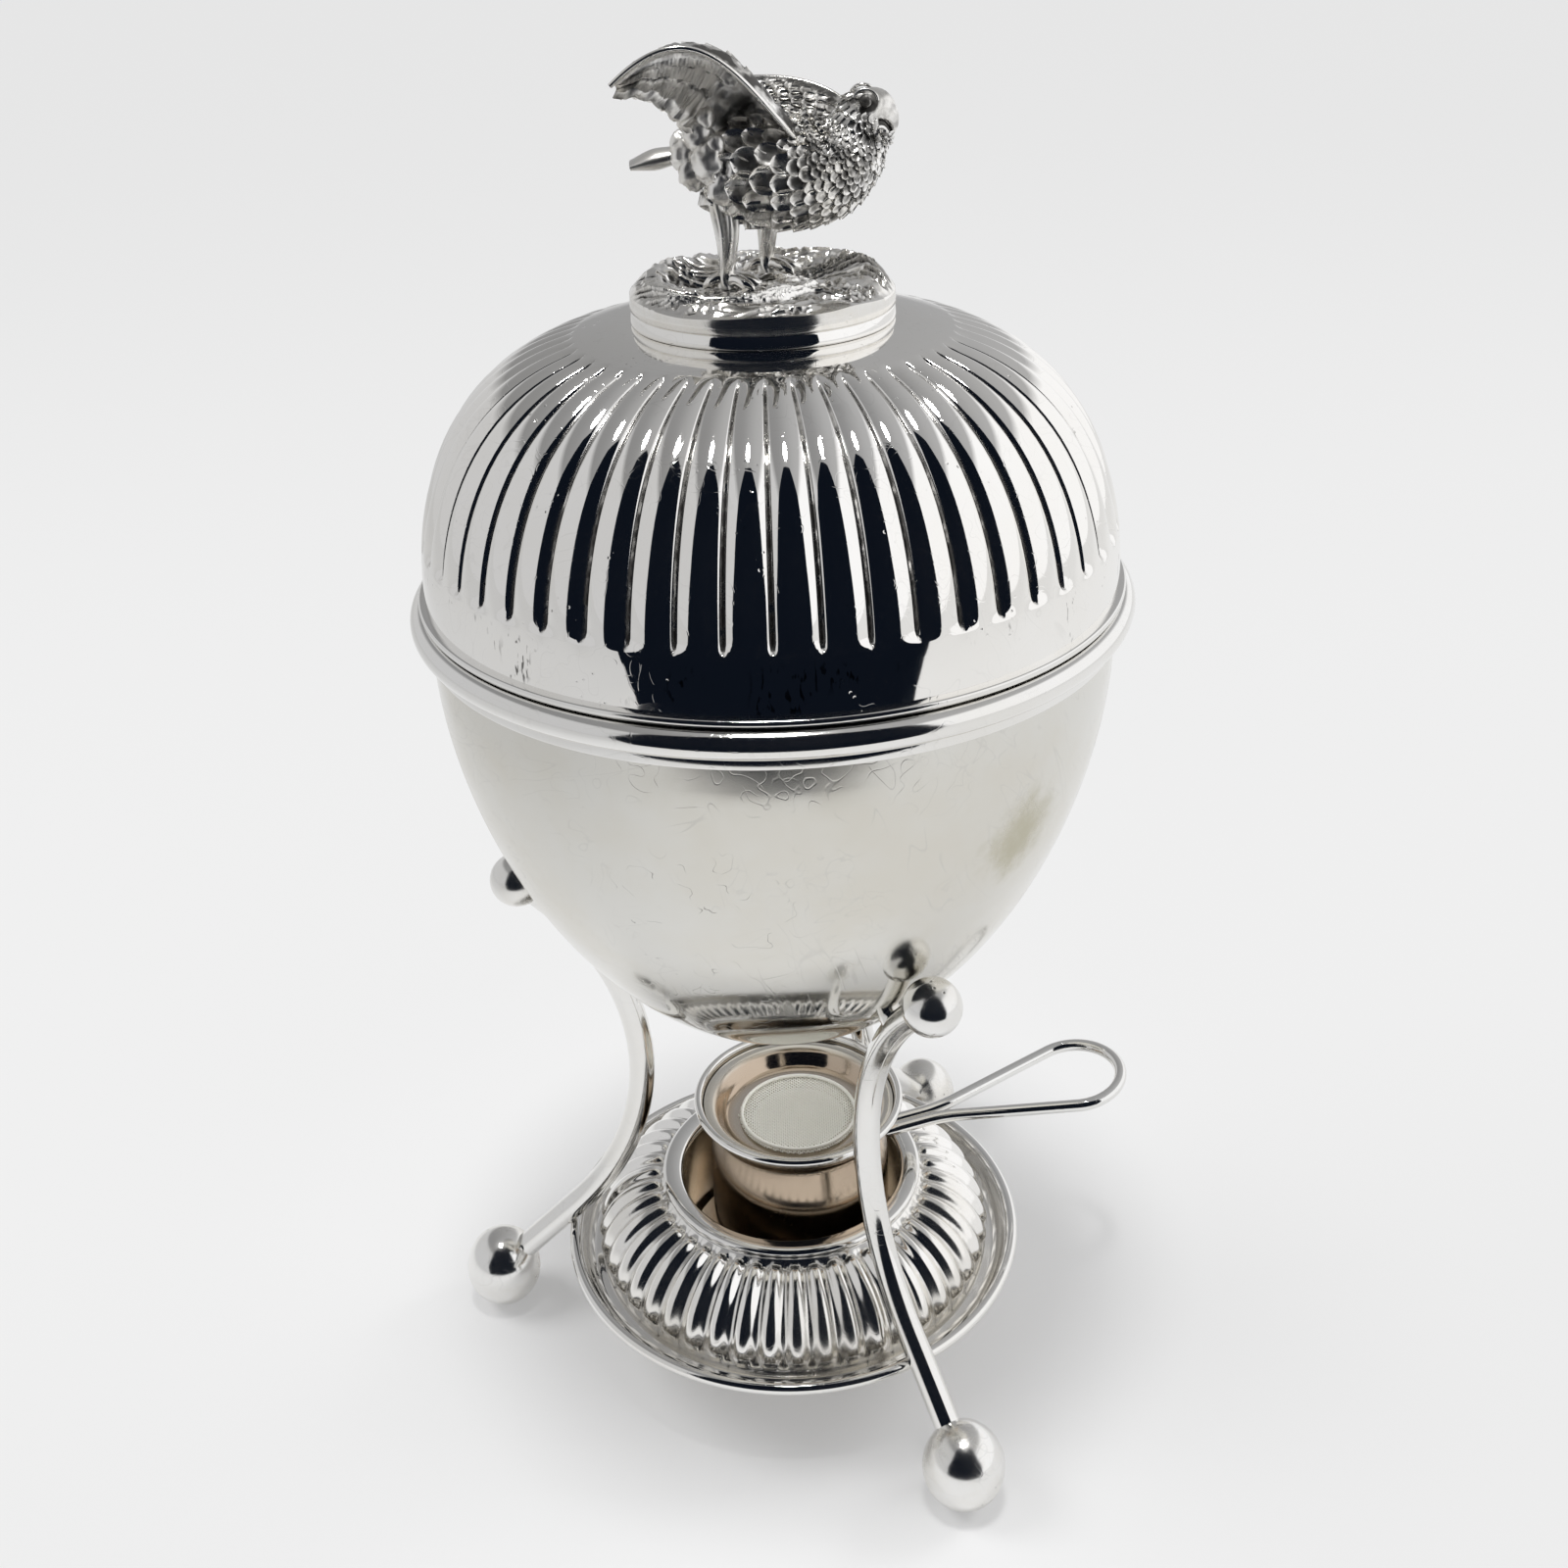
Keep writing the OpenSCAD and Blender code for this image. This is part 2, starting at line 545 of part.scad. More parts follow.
// Where each leg stands from the ground's middle, and the height of the rock under its foot
right_leg_at = [-5.3, -3.6, 0.7];
left_leg_at = [0.8, 4, 1.4];
module bird_leg(at) {
    low = ground_z + at[2];
    top = bird_z - 2.2;
    ankle = low + 2.2;
    outline = [[0, low], [ankle_d / 2, low], [ankle_d / 2, ankle], [thigh_d / 2, top], [0, top]];
    color(silver) translate([at[0], at[1], 0]) {
        rotate_extrude() polygon(outline);
        for (turn = toe_turns)
            translate([0, 0, low + toe_d / 2 + 0.1]) rotate([0, 90, turn]) translate([0, 0, 0.2])
                cylinder(d1 = toe_d, d2 = toe_tip_d, h = toe_length);
    }
}
module bird_leg_right() bird_leg(right_leg_at);
module bird_leg_left() bird_leg(left_leg_at);

stud_tail = 6;
module finial_stud() {
    low = crown_z - lid_wall - stud_tail;
    color(warm_silver) translate([0, 0, low]) cylinder(d = stud_d, h = seam_z + stud_depth - low);
}

washer_t = 1;
washer_z = dome_point(top_angle, lid_wall)[1] - washer_t;
module finial_washer() {
    color(warm_silver) translate([0, 0, washer_z]) difference() {
        cylinder(d = 3 * stud_d, h = washer_t);
        translate([0, 0, -washer_t]) cylinder(r = stud_hole_r, h = 3 * washer_t);
    }
}

nut_t = 0.8 * stud_d;
module finial_nut() {
    color(warm_silver) translate([0, 0, washer_z - nut_t]) difference() {
        cylinder(d = 2 * stud_d, h = nut_t, $fn = 6);
        translate([0, 0, -nut_t]) cylinder(d = stud_d, h = 3 * nut_t);
    }
}

// Burner: a straight cup with a round bottom and a flared, wired rim, loose in its well
burner_z = well_floor_z + seat_gap;
burner_top_z = burner_z + burner_h;
base_round = 9;
belly_z = 0.56 * burner_h;
neck_z = 0.84 * burner_h;
lip_z = burner_h - burner_wire_d;
belly_r = belly_d / 2;
burner_neck_r = burner_neck_d / 2;
lip_r = (burner_rim_d - burner_wire_d) / 2;
function ease(a, b, t) = lerp(a, b, 0.5 - 0.5 * cos(180 * t));
function burner_curve(inset) = concat(
    [for (i = [0:6]) let (a = 15 * i)
        [belly_r - base_round + (base_round - inset) * sin(a) - 0.4 * cos(a),
         base_round - (base_round - inset) * cos(a)]],
    [for (i = [0:8]) [ease(belly_r, burner_neck_r, i / 8) - inset, lerp(belly_z, neck_z, i / 8)]],
    [for (i = [1:4]) [ease(burner_neck_r, lip_r, i / 4) - inset, lerp(neck_z, lip_z, i / 4)]]);
module burner_solid() {
    translate([burner_off, 0, burner_z]) rotate_extrude()
        polygon(concat([[0, 0]], burner_curve(0), [[0, lip_z]]));
}

module burner_cup() {
    inner = burner_curve(burner_wall);
    back = [for (i = [len(inner) - 1:-1:0]) inner[i]];
    color(warm_silver) translate([burner_off, 0, burner_z]) rotate_extrude()
        polygon(concat([[0, 0]], burner_curve(0), back, [[0, burner_wall]]));
}

module burner_rim() {
    color(bright_silver) translate([burner_off, 0, burner_top_z - burner_wire_d / 2]) rotate_extrude()
        translate([lip_r, 0]) circle(d = burner_wire_d);
}

// Dished top that falls from the rim to a ledge for the gauze
gauze_r = gauze_d / 2;
gauze_t = 0.5;
gauze_z = burner_top_z - gauze_depth;
cover_t = 0.7;
cover_r = lip_r - burner_wall - seat_gap;
cover_ledge = 2.4;
cover_dish = 1.3;
cover_steps = 5;
module burner_cover() {
    low = gauze_z - gauze_t;
    high = burner_z + lip_z;
    dish = [for (i = [0:cover_steps])
        let (t = i / cover_steps)
        [lerp(gauze_r + solder_gap, cover_r, t), lerp(low, high, pow(t, cover_dish))]];
    under = [for (i = [cover_steps:-1:0]) [dish[i][0] - seat_gap / 2, dish[i][1] - cover_t]];
    ledge = [[gauze_r - cover_ledge, low - cover_t], [gauze_r - cover_ledge, low]];
    color(warm_silver) translate([burner_off, 0, 0]) rotate_extrude() polygon(concat(dish, under, ledge));
}

module gauze_disc() {
    color(gauze_grey) translate([burner_off, 0, gauze_z - gauze_t]) cylinder(r = gauze_r, h = gauze_t);
}

module gauze_ring() {
    wire_d = 0.7;
    color(bright_silver) translate([burner_off, 0, gauze_z + wire_d / 2]) rotate_extrude()
        translate([gauze_r - wire_d, 0]) circle(d = wire_d);
}

module wick_pad() {
    low = burner_z + burner_wall + seat_gap;
    color(pad_white) translate([burner_off, 0, low])
        cylinder(r = gauze_r - cover_ledge - seat_gap, h = gauze_z - gauze_t - low);
}

// Handle: one wire, doubled at its root and spread into a teardrop loop
handle_r = handle_wire_d / 2;
wire_gap = 0.1;
wire_side = handle_r + wire_gap / 2;
spread_bend_r = 25;
spread_y = wire_side + spread_bend_r * (1 - cos(handle_spread));
tip_x = handle_reach - handle_tip_r * sin(handle_spread);
tip_y = handle_tip_r * cos(handle_spread);
slant = (tip_y - spread_y) / sin(handle_spread);
bend_x = tip_x - slant * cos(handle_spread) - spread_bend_r * sin(handle_spread);
handle_root = 14;
handle_end_d = handle_wire_d + weld_step;
module handle_side() {
    translate([handle_root, wire_side, 0]) rotate([0, 90, 0])
        cylinder(d = handle_end_d, h = bend_x - handle_root + weld_lap);
    translate([bend_x, wire_side + spread_bend_r, 0]) rotate([0, 0, -90])
        rotate_extrude(angle = handle_spread) translate([spread_bend_r, 0]) circle(d = handle_wire_d);
    translate([tip_x, tip_y, 0]) rotate([0, -90, handle_spread]) translate([0, 0, -weld_lap])
        cylinder(d = handle_end_d, h = slant + 2 * weld_lap);
}
module burner_handle() {
    color(bright_silver) difference() {
        translate([burner_off, 0, burner_z + handle_z]) rotate([0, -handle_rise, handle_turn]) {
            handle_side();
            mirror([0, 1, 0]) handle_side();
            translate([handle_reach, 0, 0]) rotate([0, 0, -90 - handle_spread])
                rotate_extrude(angle = 180 + 2 * handle_spread) translate([handle_tip_r, 0])
                circle(d = handle_wire_d);
        }
        burner_solid();
    }
}

// Egg rack: four rings round a stem, a pierced plate below and a ring to lift it by
rack_wire_r = rack_wire_d / 2;
ring_level = bowl_clear + egg_ring_z;
plate_level = bowl_clear + rack_plate_z;
stem_top = ring_level + stem_rise;
plate_r = bowl_inner_r(plate_level) - 2.2;
egg_hole_reach = plate_r - egg_hole_d / 2 - 4;
module rack_stem() {
    color(bright_silver) translate([0, 0, plate_level]) difference() {
        cylinder(d = stem_d, h = stem_top - plate_level);
        translate([0, 0, stem_top - plate_level + lift_ring_r]) rotate([90, 0, 0]) rotate_extrude()
            translate([lift_ring_r, 0]) circle(r = rack_wire_r);
    }
}

module rack_ring() {
    color(bright_silver) translate([0, 0, stem_top + lift_ring_r]) rotate([90, 0, 0]) rotate_extrude()
        translate([lift_ring_r, 0]) circle(r = rack_wire_r);
}

module egg_ring(k) {
    color(bright_silver) rotate([0, 0, 45 + 90 * k]) translate([egg_ring_reach, 0, ring_level])
        rotate_extrude() translate([egg_ring_r, 0]) circle(r = rack_wire_r);
}
module egg_ring_1() egg_ring(0);
module egg_ring_2() egg_ring(1);
module egg_ring_3() egg_ring(2);
module egg_ring_4() egg_ring(3);

module rack_spokes() {
    hub_d = stem_d + 4;
    color(bright_silver) difference() {
        union() {
            translate([0, 0, ring_level - 2]) cylinder(d = hub_d, h = 4);
            for (k = [0:3]) rotate([0, 0, 45 + 90 * k]) translate([0, 0, ring_level]) rotate([0, 90, 0])
                cylinder(r = rack_wire_r, h = egg_ring_reach - egg_ring_r);
        }
        translate([0, 0, ring_level - 4]) cylinder(d = stem_d, h = 8);
        for (k = [0:3]) egg_ring(k);
    }
}

module rack_plate() {
    color(silver) translate([0, 0, plate_level - rack_plate_t]) difference() {
        cylinder(r = plate_r, h = rack_plate_t);
        for (k = [0:3]) rotate([0, 0, 45 + 90 * k]) translate([egg_hole_reach, 0, -rack_plate_t])
            cylinder(d = egg_hole_d, h = 3 * rack_plate_t);
    }
}

rack_foot_reach = 15;
rack_foot_d = 4;
module rack_feet() {
    ball_z = bowl_inner_z(rack_foot_reach) + rack_foot_d / 2 + 2 * seat_gap;
    color(bright_silver) for (k = [0:3]) rotate([0, 0, 90 * k]) translate([rack_foot_reach, 0, 0]) {
        translate([0, 0, ball_z]) sphere(d = rack_foot_d);
        translate([0, 0, ball_z]) cylinder(r = rack_wire_r, h = plate_level - rack_plate_t - ball_z);
    }
}

bowl();
rim_bead();
rim_band();
leg_front();
leg_left();
leg_rear();
foot_front();
foot_left();
foot_rear();
ball_front();
ball_left();
ball_rear();
tray();
tray_rim();
well_cup();
well_collar();
lid_dome();
lid_flange();
lid_collar();
finial_plinth();
rock_base();
bird();
wing_right();
wing_left();
bird_leg_right();
bird_leg_left();
finial_stud();
finial_washer();
finial_nut();
burner_cup();
burner_rim();
burner_cover();
gauze_disc();
gauze_ring();
wick_pad();
burner_handle();
rack_stem();
rack_ring();
rack_spokes();
egg_ring_1();
egg_ring_2();
egg_ring_3();
egg_ring_4();
rack_plate();
rack_feet();
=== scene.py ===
import math
import bmesh
import bpy
import numpy as np
from mathutils import Matrix, Vector, noise


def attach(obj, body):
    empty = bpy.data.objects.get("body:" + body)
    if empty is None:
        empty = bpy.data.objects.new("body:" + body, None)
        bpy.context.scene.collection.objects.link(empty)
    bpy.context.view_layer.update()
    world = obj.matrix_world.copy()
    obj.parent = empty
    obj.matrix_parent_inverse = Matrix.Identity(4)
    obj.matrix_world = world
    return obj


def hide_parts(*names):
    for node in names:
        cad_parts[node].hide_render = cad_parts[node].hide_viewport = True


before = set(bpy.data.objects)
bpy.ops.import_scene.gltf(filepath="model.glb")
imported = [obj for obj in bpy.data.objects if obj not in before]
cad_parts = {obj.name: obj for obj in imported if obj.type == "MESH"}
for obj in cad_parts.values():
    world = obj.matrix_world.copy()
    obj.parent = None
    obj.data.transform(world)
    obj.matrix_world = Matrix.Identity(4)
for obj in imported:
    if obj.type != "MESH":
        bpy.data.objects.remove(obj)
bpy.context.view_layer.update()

# Bowl
# One spun egg-shaped cup of silver-plated nickel silver, open at the top and planished smooth.
# Years of cleaning have left it hazy, finely scratched and tarnished in a patch near the rim.
MM = 0.001
BOWL_R = 57.0
BOWL_WALL = 0.9
WIDEST_Z = 153.0
RIM_Z = 163.4
BOWL_DEEP = 79.0
BOWL_M = 1.86
BOWL_N = 1.79
BOWL_STEPS = 256
SILVER = (0.93, 0.92, 0.90, 1.0)
BOWL_TINT = (0.745, 0.738, 0.705, 1.0)
TARNISH = (0.66, 0.60, 0.47, 1.0)
PATCH_TINT = (0.50, 0.47, 0.34, 1.0)
# Near black: oxide left in hollows, and painted shade on the wings' insides.
OXIDE_AND_SHADE = (0.035, 0.032, 0.030, 1.0)
SCRATCH = (0.60, 0.59, 0.57, 1.0)
SCRATCH_WAYS = (((0.3, 0.2, 0.5), 0.020), ((1.1, 0.7, 2.0), 0.028), ((0.4, 1.9, 0.9), 0.024),
                ((0, 0.5, 1.2), 0.016))


class Value:
    """One output of a node; sums and products of values add nodes to the same tree."""

    def __init__(self, socket):
        self.socket = socket
        self.tree = socket.id_data

    def math(self, what, *others, clamp=False):
        terms = dict(enumerate((self,) + others))
        return put(self.tree, "ShaderNodeMath", terms, operation=what, use_clamp=clamp)[0]

    def __add__(self, other):
        return self.math("ADD", other)

    def __sub__(self, other):
        return self.math("SUBTRACT", other)

    def __mul__(self, other):
        return self.math("MULTIPLY", other)

    def __truediv__(self, other):
        return self.math("DIVIDE", other)

    def __pow__(self, power):
        return self.math("POWER", power)

    def vector(self, what, inputs, give=0):
        return put(self.tree, "ShaderNodeVectorMath", {0: self, **inputs}, operation=what)[give]

    def axis(self, name):
        return put(self.tree, "ShaderNodeSeparateXYZ", {0: self})[name]

    def ramp(self, low, high, to_low=0.0, to_high=1.0):
        """Pass smoothly from one value to another while this one runs from low to high."""
        ends = {"Value": self, "From Min": low, "From Max": high, "To Min": to_low, "To Max": to_high}
        return put(self.tree, "ShaderNodeMapRange", ends, interpolation_type="SMOOTHSTEP")["Result"]

    def mottle(self, scale, detail=2.0, roughness=0.5):
        """Noise at this place."""
        inputs = {"Vector": self, "Scale": scale, "Detail": detail, "Roughness": roughness}
        return put(self.tree, "ShaderNodeTexNoise", inputs)["Fac"]

    def line(self, core, edge):
        """A thin line where this value crosses a half."""
        return (self - 0.5).math("ABSOLUTE").ramp(core, edge, 1.0, 0.0)

    def to(self, socket):
        self.tree.links.new(self.socket, socket)


class Node:
    """A node whose outputs are taken by name or number."""

    def __init__(self, made):
        self.made = made

    def __getitem__(self, key):
        return Value(self.made.outputs[key])


def put(tree, kind, inputs=None, **settings):
    """Add a node; each input is a constant, or a value to link from."""
    made = tree.nodes.new(kind)
    for key, value in settings.items():
        setattr(made, key, value)
    for key, value in (inputs or {}).items():
        if isinstance(value, Value):
            value.to(made.inputs[key])
        else:
            made.inputs[key].default_value = value
    return Node(made)


def mix_colour(factor, a, b):
    return put(factor.tree, "ShaderNodeMix", {0: factor, 6: a, 7: b}, data_type="RGBA")[2]


def new_tree(name, kind, takes, gives):
    """A node tree with its inputs and outputs, each one a name and a kind of socket."""
    tree = bpy.data.node_groups.new(name, kind)
    for way, sockets in (("INPUT", takes), ("OUTPUT", gives)):
        for label, socket in sockets:
            tree.interface.new_socket(label, in_out=way, socket_type="NodeSocket" + socket)
    return tree, Node(tree.nodes.new("NodeGroupInput")), tree.nodes.new("NodeGroupOutput")


def plate_wear_group():
    """Scratches, clouds of haze, pits and slow unevenness of worn silver plate."""
    masks = [(name, "Float") for name in ("Scratch", "Cloud", "Pit", "Sway")]
    takes = [("Vector", "Vector"), ("Cloud Scale", "Float")]
    tree, come, go = new_tree("plate_wear", "ShaderNodeTree", takes, masks)
    place = come["Vector"]
    lines = []
    for turn, stretch in SCRATCH_WAYS:
        turned = put(tree, "ShaderNodeMapping", {"Vector": place, "Rotation": turn})[0]
        drawn = put(tree, "ShaderNodeMapping", {"Vector": turned, "Scale": (stretch, 1.0, 1.0)})[0]
        lines.append(drawn.mottle(420.0, 0.0).line(0.0, 0.022) * turned.mottle(85.0, 1.0).ramp(0.54, 0.64))
    scratches = lines[0]
    for line in lines[1:]:
        scratches = scratches.math("MAXIMUM", line)
    scratches.to(go.inputs["Scratch"])
    place.mottle(come["Cloud Scale"], 5.0, 0.62).ramp(0.36, 0.68).to(go.inputs["Cloud"])
    cells = put(tree, "ShaderNodeTexVoronoi", {"Vector": place, "Scale": 700.0})["Distance"]
    (cells.ramp(0.08, 0.22, 1.0, 0.0) * place.mottle(140.0).ramp(0.56, 0.70)).to(go.inputs["Pit"])
    place.mottle(34.0).to(go.inputs["Sway"])
    return tree


plate_wear = plate_wear_group()


def stored(tree, name):
    return put(tree, "ShaderNodeAttribute", attribute_name=name)["Fac"]


def new_material(name):
    """A material with its tree, its shader and the place on the object that it is drawn from."""
    made = bpy.data.materials.new(name)
    made.use_nodes = True
    tree = made.node_tree
    return made, tree, tree.nodes["Principled BSDF"], put(tree, "ShaderNodeTexCoord")["Object"]


def plate_material(name, polish, haze, scratch=0.5, sway=0.3, pits=0.0, hollow=0.0, tint=SILVER, stain=0.25,
                   cloud_scale=30.0, patch=None, curls=None, specks=None, dull=None, frost=0.0, heat=None):
    """Silver plate: polish is its least roughness, haze what clouds add; hollow darkens the places a mesh
    marks: oxide in sunk places, and painted shade on the wings' insides.
    """
    made, tree, shader, place = new_material(name)
    wear = put(tree, "ShaderNodeGroup", node_tree=plate_wear).made
    place.to(wear.inputs["Vector"])
    wear.inputs["Cloud Scale"].default_value = cloud_scale
    scratches, cloud, pit, slow = [Value(wear.outputs[k]) for k in ("Scratch", "Cloud", "Pit", "Sway")]
    colour = mix_colour(cloud * stain, tint, TARNISH)
    colour = mix_colour(scratches * (0.30 * scratch), colour, SCRATCH)
    rough = cloud * haze + polish + scratches * (0.10 * scratch)
    height = scratches * (-0.03 * scratch)
    if patch:
        centre, reach, shade = patch
        edge = place.mottle(160.0, 6.0, 0.7) * (reach * 1.6) + place.vector("DISTANCE", {1: centre}, "Value")
        spot = edge.ramp(reach * 0.9, reach * 2.0, 1.0, 0.0)
        colour = mix_colour(spot * 0.8, colour, shade)
        rough = rough + spot * 0.16
    if curls:
        centre, reach = curls
        near = place.vector("DISTANCE", {1: centre}, "Value").ramp(reach * 0.5, reach, 1.0, 0.0)
        broken = place.mottle(260.0, 0.0).ramp(0.50, 0.60)
        wound = place.mottle(190.0, 1.5).line(0.001, 0.006) * broken * near
        colour = mix_colour(wound * 0.55, colour, OXIDE_AND_SHADE)
    up = place.axis("Z")
    if specks:
        low, high = specks
        tall = put(tree, "ShaderNodeMapping", {"Vector": place, "Scale": (1.0, 1.0, 0.3)})[0]
        fleck = tall.mottle(1300.0).ramp(0.58, 0.64) * place.mottle(95.0, 1.0).ramp(0.56, 0.66)
        fleck = fleck * up.ramp(low, low + 0.001) * up.ramp(high - 0.002, high, 1.0, 0.0)
        colour = mix_colour(fleck * 0.85, colour, OXIDE_AND_SHADE)
    if dull:
        low, high, more = dull
        rough = rough + up.ramp(low, high, 0.0, more)
    if heat:
        colour = mix_colour(stored(tree, "browned"), colour, heat)
    if pits:
        colour = mix_colour(pit * pits, colour, OXIDE_AND_SHADE)
        height = height + pit * (-0.6 * pits)
    if frost:
        rough = rough + stored(tree, "frost") * frost
    if hollow:
        # The stored hollow mark darkens towards this colour: oxide in sunk places, and painted shade on the
        # wings' insides.
        patchy = place.mottle(380.0, 4.0).ramp(0.30, 0.62)
        dark = stored(tree, "hollow").math("MULTIPLY", patchy, clamp=True).math("MULTIPLY", hollow, clamp=True)
        colour = mix_colour(dark, colour, OXIDE_AND_SHADE)
        rough = rough + dark * 0.45
    height = height + slow * sway
    bump = put(tree, "ShaderNodeBump", {"Height": height, "Strength": 0.5, "Distance": 0.0006})
    colour.to(shader.inputs["Base Color"])
    rough.to(shader.inputs["Roughness"])
    bump["Normal"].to(shader.inputs["Normal"])
    shader.inputs["Metallic"].default_value = 1.0
    return made


def mesh_of(name, verts, faces):
    mesh = bpy.data.meshes.new(name)
    mesh.from_pydata([tuple(v) for v in verts], [], faces)
    return mesh


def settle(name, shape, material, body, nodes, crease=40.0):
    """Close a mesh, or points and faces, turn it outwards and give it to the body that carries it."""
    mesh = shape if isinstance(shape, bpy.types.Mesh) else mesh_of(name, *shape)
    shell = bmesh.new()
    shell.from_mesh(mesh)
    bmesh.ops.remove_doubles(shell, verts=shell.verts, dist=1e-7)
    bmesh.ops.recalc_face_normals(shell, faces=shell.faces)
    shell.to_mesh(mesh)
    shell.free()
    mesh.shade_smooth()
    mesh.set_sharp_from_angle(angle=math.radians(crease))
    mesh.materials.clear()
    mesh.materials.append(material)
    piece = bpy.data.objects.new(name, mesh)
    bpy.context.scene.collection.objects.link(piece)
    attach(piece, body)
    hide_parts(*nodes)


def rounded(points, radius, steps=4):
    """Ease every corner of a closed outline, given in millimetres."""
    out = []
    count = len(points)
    for i, here in enumerate(points):
        before, after = np.array(points[i - 1]), np.array(points[(i + 1) % count])
        here = np.array(here)
        reach_in = min(radius, 0.45 * np.linalg.norm(before - here))
        reach_out = min(radius, 0.45 * np.linalg.norm(after - here))
        a = here + (before - here) / np.linalg.norm(before - here) * reach_in
        b = here + (after - here) / np.linalg.norm(after - here) * reach_out
        for k in range(steps + 1):
            t = k / steps
            out.append(tuple((1 - t) ** 2 * a + 2 * t * (1 - t) * here + t * t * b))
    return out


def around(radius, angle, z):
    """A point of a circle about the axis, from millimetres to metres."""
    return radius * MM * math.cos(angle), radius * MM * math.sin(angle), z * MM


def turns(steps):
    return np.linspace(0, 2 * math.pi, steps, endpoint=False)


def lathe(outline, steps, closed=True):
    """Turn an outline of (radius, height) millimetres round the axis; a point at radius 0 is a pole."""
    verts, rings = [], []
    for r, z in outline:
        if r < 1e-6:
            rings.append([len(verts)] * steps)
            verts.append((0.0, 0.0, z * MM))
        else:
            rings.append(list(range(len(verts), len(verts) + steps)))
            verts += [around(r, a, z) for a in turns(steps)]
    faces = []
    pairs = list(zip(rings, rings[1:])) + ([(rings[-1], rings[0])] if closed else [])
    for low, high in pairs:
        for k in range(steps):
            n = (k + 1) % steps
            face = list(dict.fromkeys((low[k], low[n], high[n], high[k])))
            if len(face) > 2:
                faces.append(face)
    return verts, faces


def bowl_curve(inset, count):
    radius, deep = BOWL_R - inset, BOWL_DEEP - inset
    out = []
    for a in np.linspace(0, math.pi / 2, count + 1):
        r = radius * max(math.cos(a), 0.0) ** (2 / BOWL_M)
        out.append((r, WIDEST_Z - deep * math.sin(a) ** (2 / BOWL_N)))
    out[-1] = (0.0, WIDEST_Z - deep)
    return out


bowl_lip = [(BOWL_R - BOWL_WALL, WIDEST_Z + 4), (BOWL_R - BOWL_WALL, RIM_Z - 0.3), (BOWL_R - 0.6, RIM_Z),
            (BOWL_R - 0.3, RIM_Z), (BOWL_R, RIM_Z - 0.3), (BOWL_R, WIDEST_Z + 4)]
bowl_plate = plate_material("bowl_plate", polish=0.04, haze=0.10, scratch=0.8, sway=0.22, stain=0.30,
                            cloud_scale=24.0, tint=BOWL_TINT, dull=(0.088, 0.125, 0.06),
                            patch=((0.0379, -0.0395, 0.1347), 0.0085, PATCH_TINT),
                            curls=((-0.0124, -0.0519, 0.127), 0.019))
bowl_outline = bowl_curve(BOWL_WALL, 60)[::-1] + bowl_lip + bowl_curve(0, 90)
bowl_shape = lathe(bowl_outline, BOWL_STEPS, closed=False)
settle("bowl_cup", bowl_shape, bowl_plate, "stand", ["bowl"])

# Rim bead and band
# A half-round wire soldered round the bowl's mouth, with a thin flat band under it.
# Handling keeps both bright.
BEAD_CENTRE = (57.7, 161.1)
BEAD_R = 2.3
BAND_H = 1.8
BAND_T = 0.9
WIRE_TINT = (0.87, 0.865, 0.85, 1.0)
bright_wire = plate_material("bright_wire", polish=0.06, haze=0.08, scratch=0.4, sway=0.25, stain=0.15,
                             tint=WIRE_TINT)
flat_at = math.acos((BOWL_R - BEAD_CENTRE[0]) / BEAD_R)
bead = [(BEAD_CENTRE[0] + BEAD_R * math.cos(a), BEAD_CENTRE[1] + BEAD_R * math.sin(a))
        for a in np.linspace(-flat_at, flat_at, 40)]
settle("rim_bead_wire", lathe(bead, BOWL_STEPS), bright_wire, "stand", ["rim_bead"])
band_z = RIM_Z - 2 * BEAD_R
band = rounded([(BOWL_R, band_z - BAND_H), (BOWL_R + BAND_T, band_z - BAND_H), (BOWL_R + BAND_T, band_z),
                (BOWL_R, band_z)], 0.3)
settle("rim_flat_band", lathe(band, BOWL_STEPS), bright_wire, "stand", ["rim_band"])

# Legs, ball feet and arm balls
# Each leg is one bent round rod: it springs from a drilled ball foot, runs past the tray's edge
# and bends out again to carry the bowl on a short lug, ending in a small drilled ball.
LEG_R = 2.5
LEG_BEND = 52.0
WAIST_R = 28.7
WAIST_Z = 63.0
LEG_SWEEP = math.radians(45.0)
ARM_SWEEP = math.radians(48.0)
LEG_COUNT = 3
LEG_TURN = math.radians(-61.0)
FOOT_WIDE = 7.6
FOOT_TALL = 8.8
FOOT_FLAT = 0.12
ARM_RUN = 4.0
ARM_BALL_R = 5.0
LUG_ANGLE = math.radians(36.0)
LUG_R = 2.125
LUG_LONG = 3.3


def grid_faces(rows, cols, round_cols=True, round_rows=False):
    """Faces between the rows of a grid of points; either way may run round to its start."""
    faces = []
    for r in range(rows if round_rows else rows - 1):
        low, high = r * cols, (r + 1) % rows * cols
        for c in range(cols if round_cols else cols - 1):
            d = (c + 1) % cols
            faces.append([low + c, low + d, high + d, high + c])
    return faces


def capped_faces(rows, cols):
    """Faces of a tube of points, with a face over each end."""
    return grid_faces(rows, cols) + [list(range(cols))[::-1], list(range((rows - 1) * cols, rows * cols))]


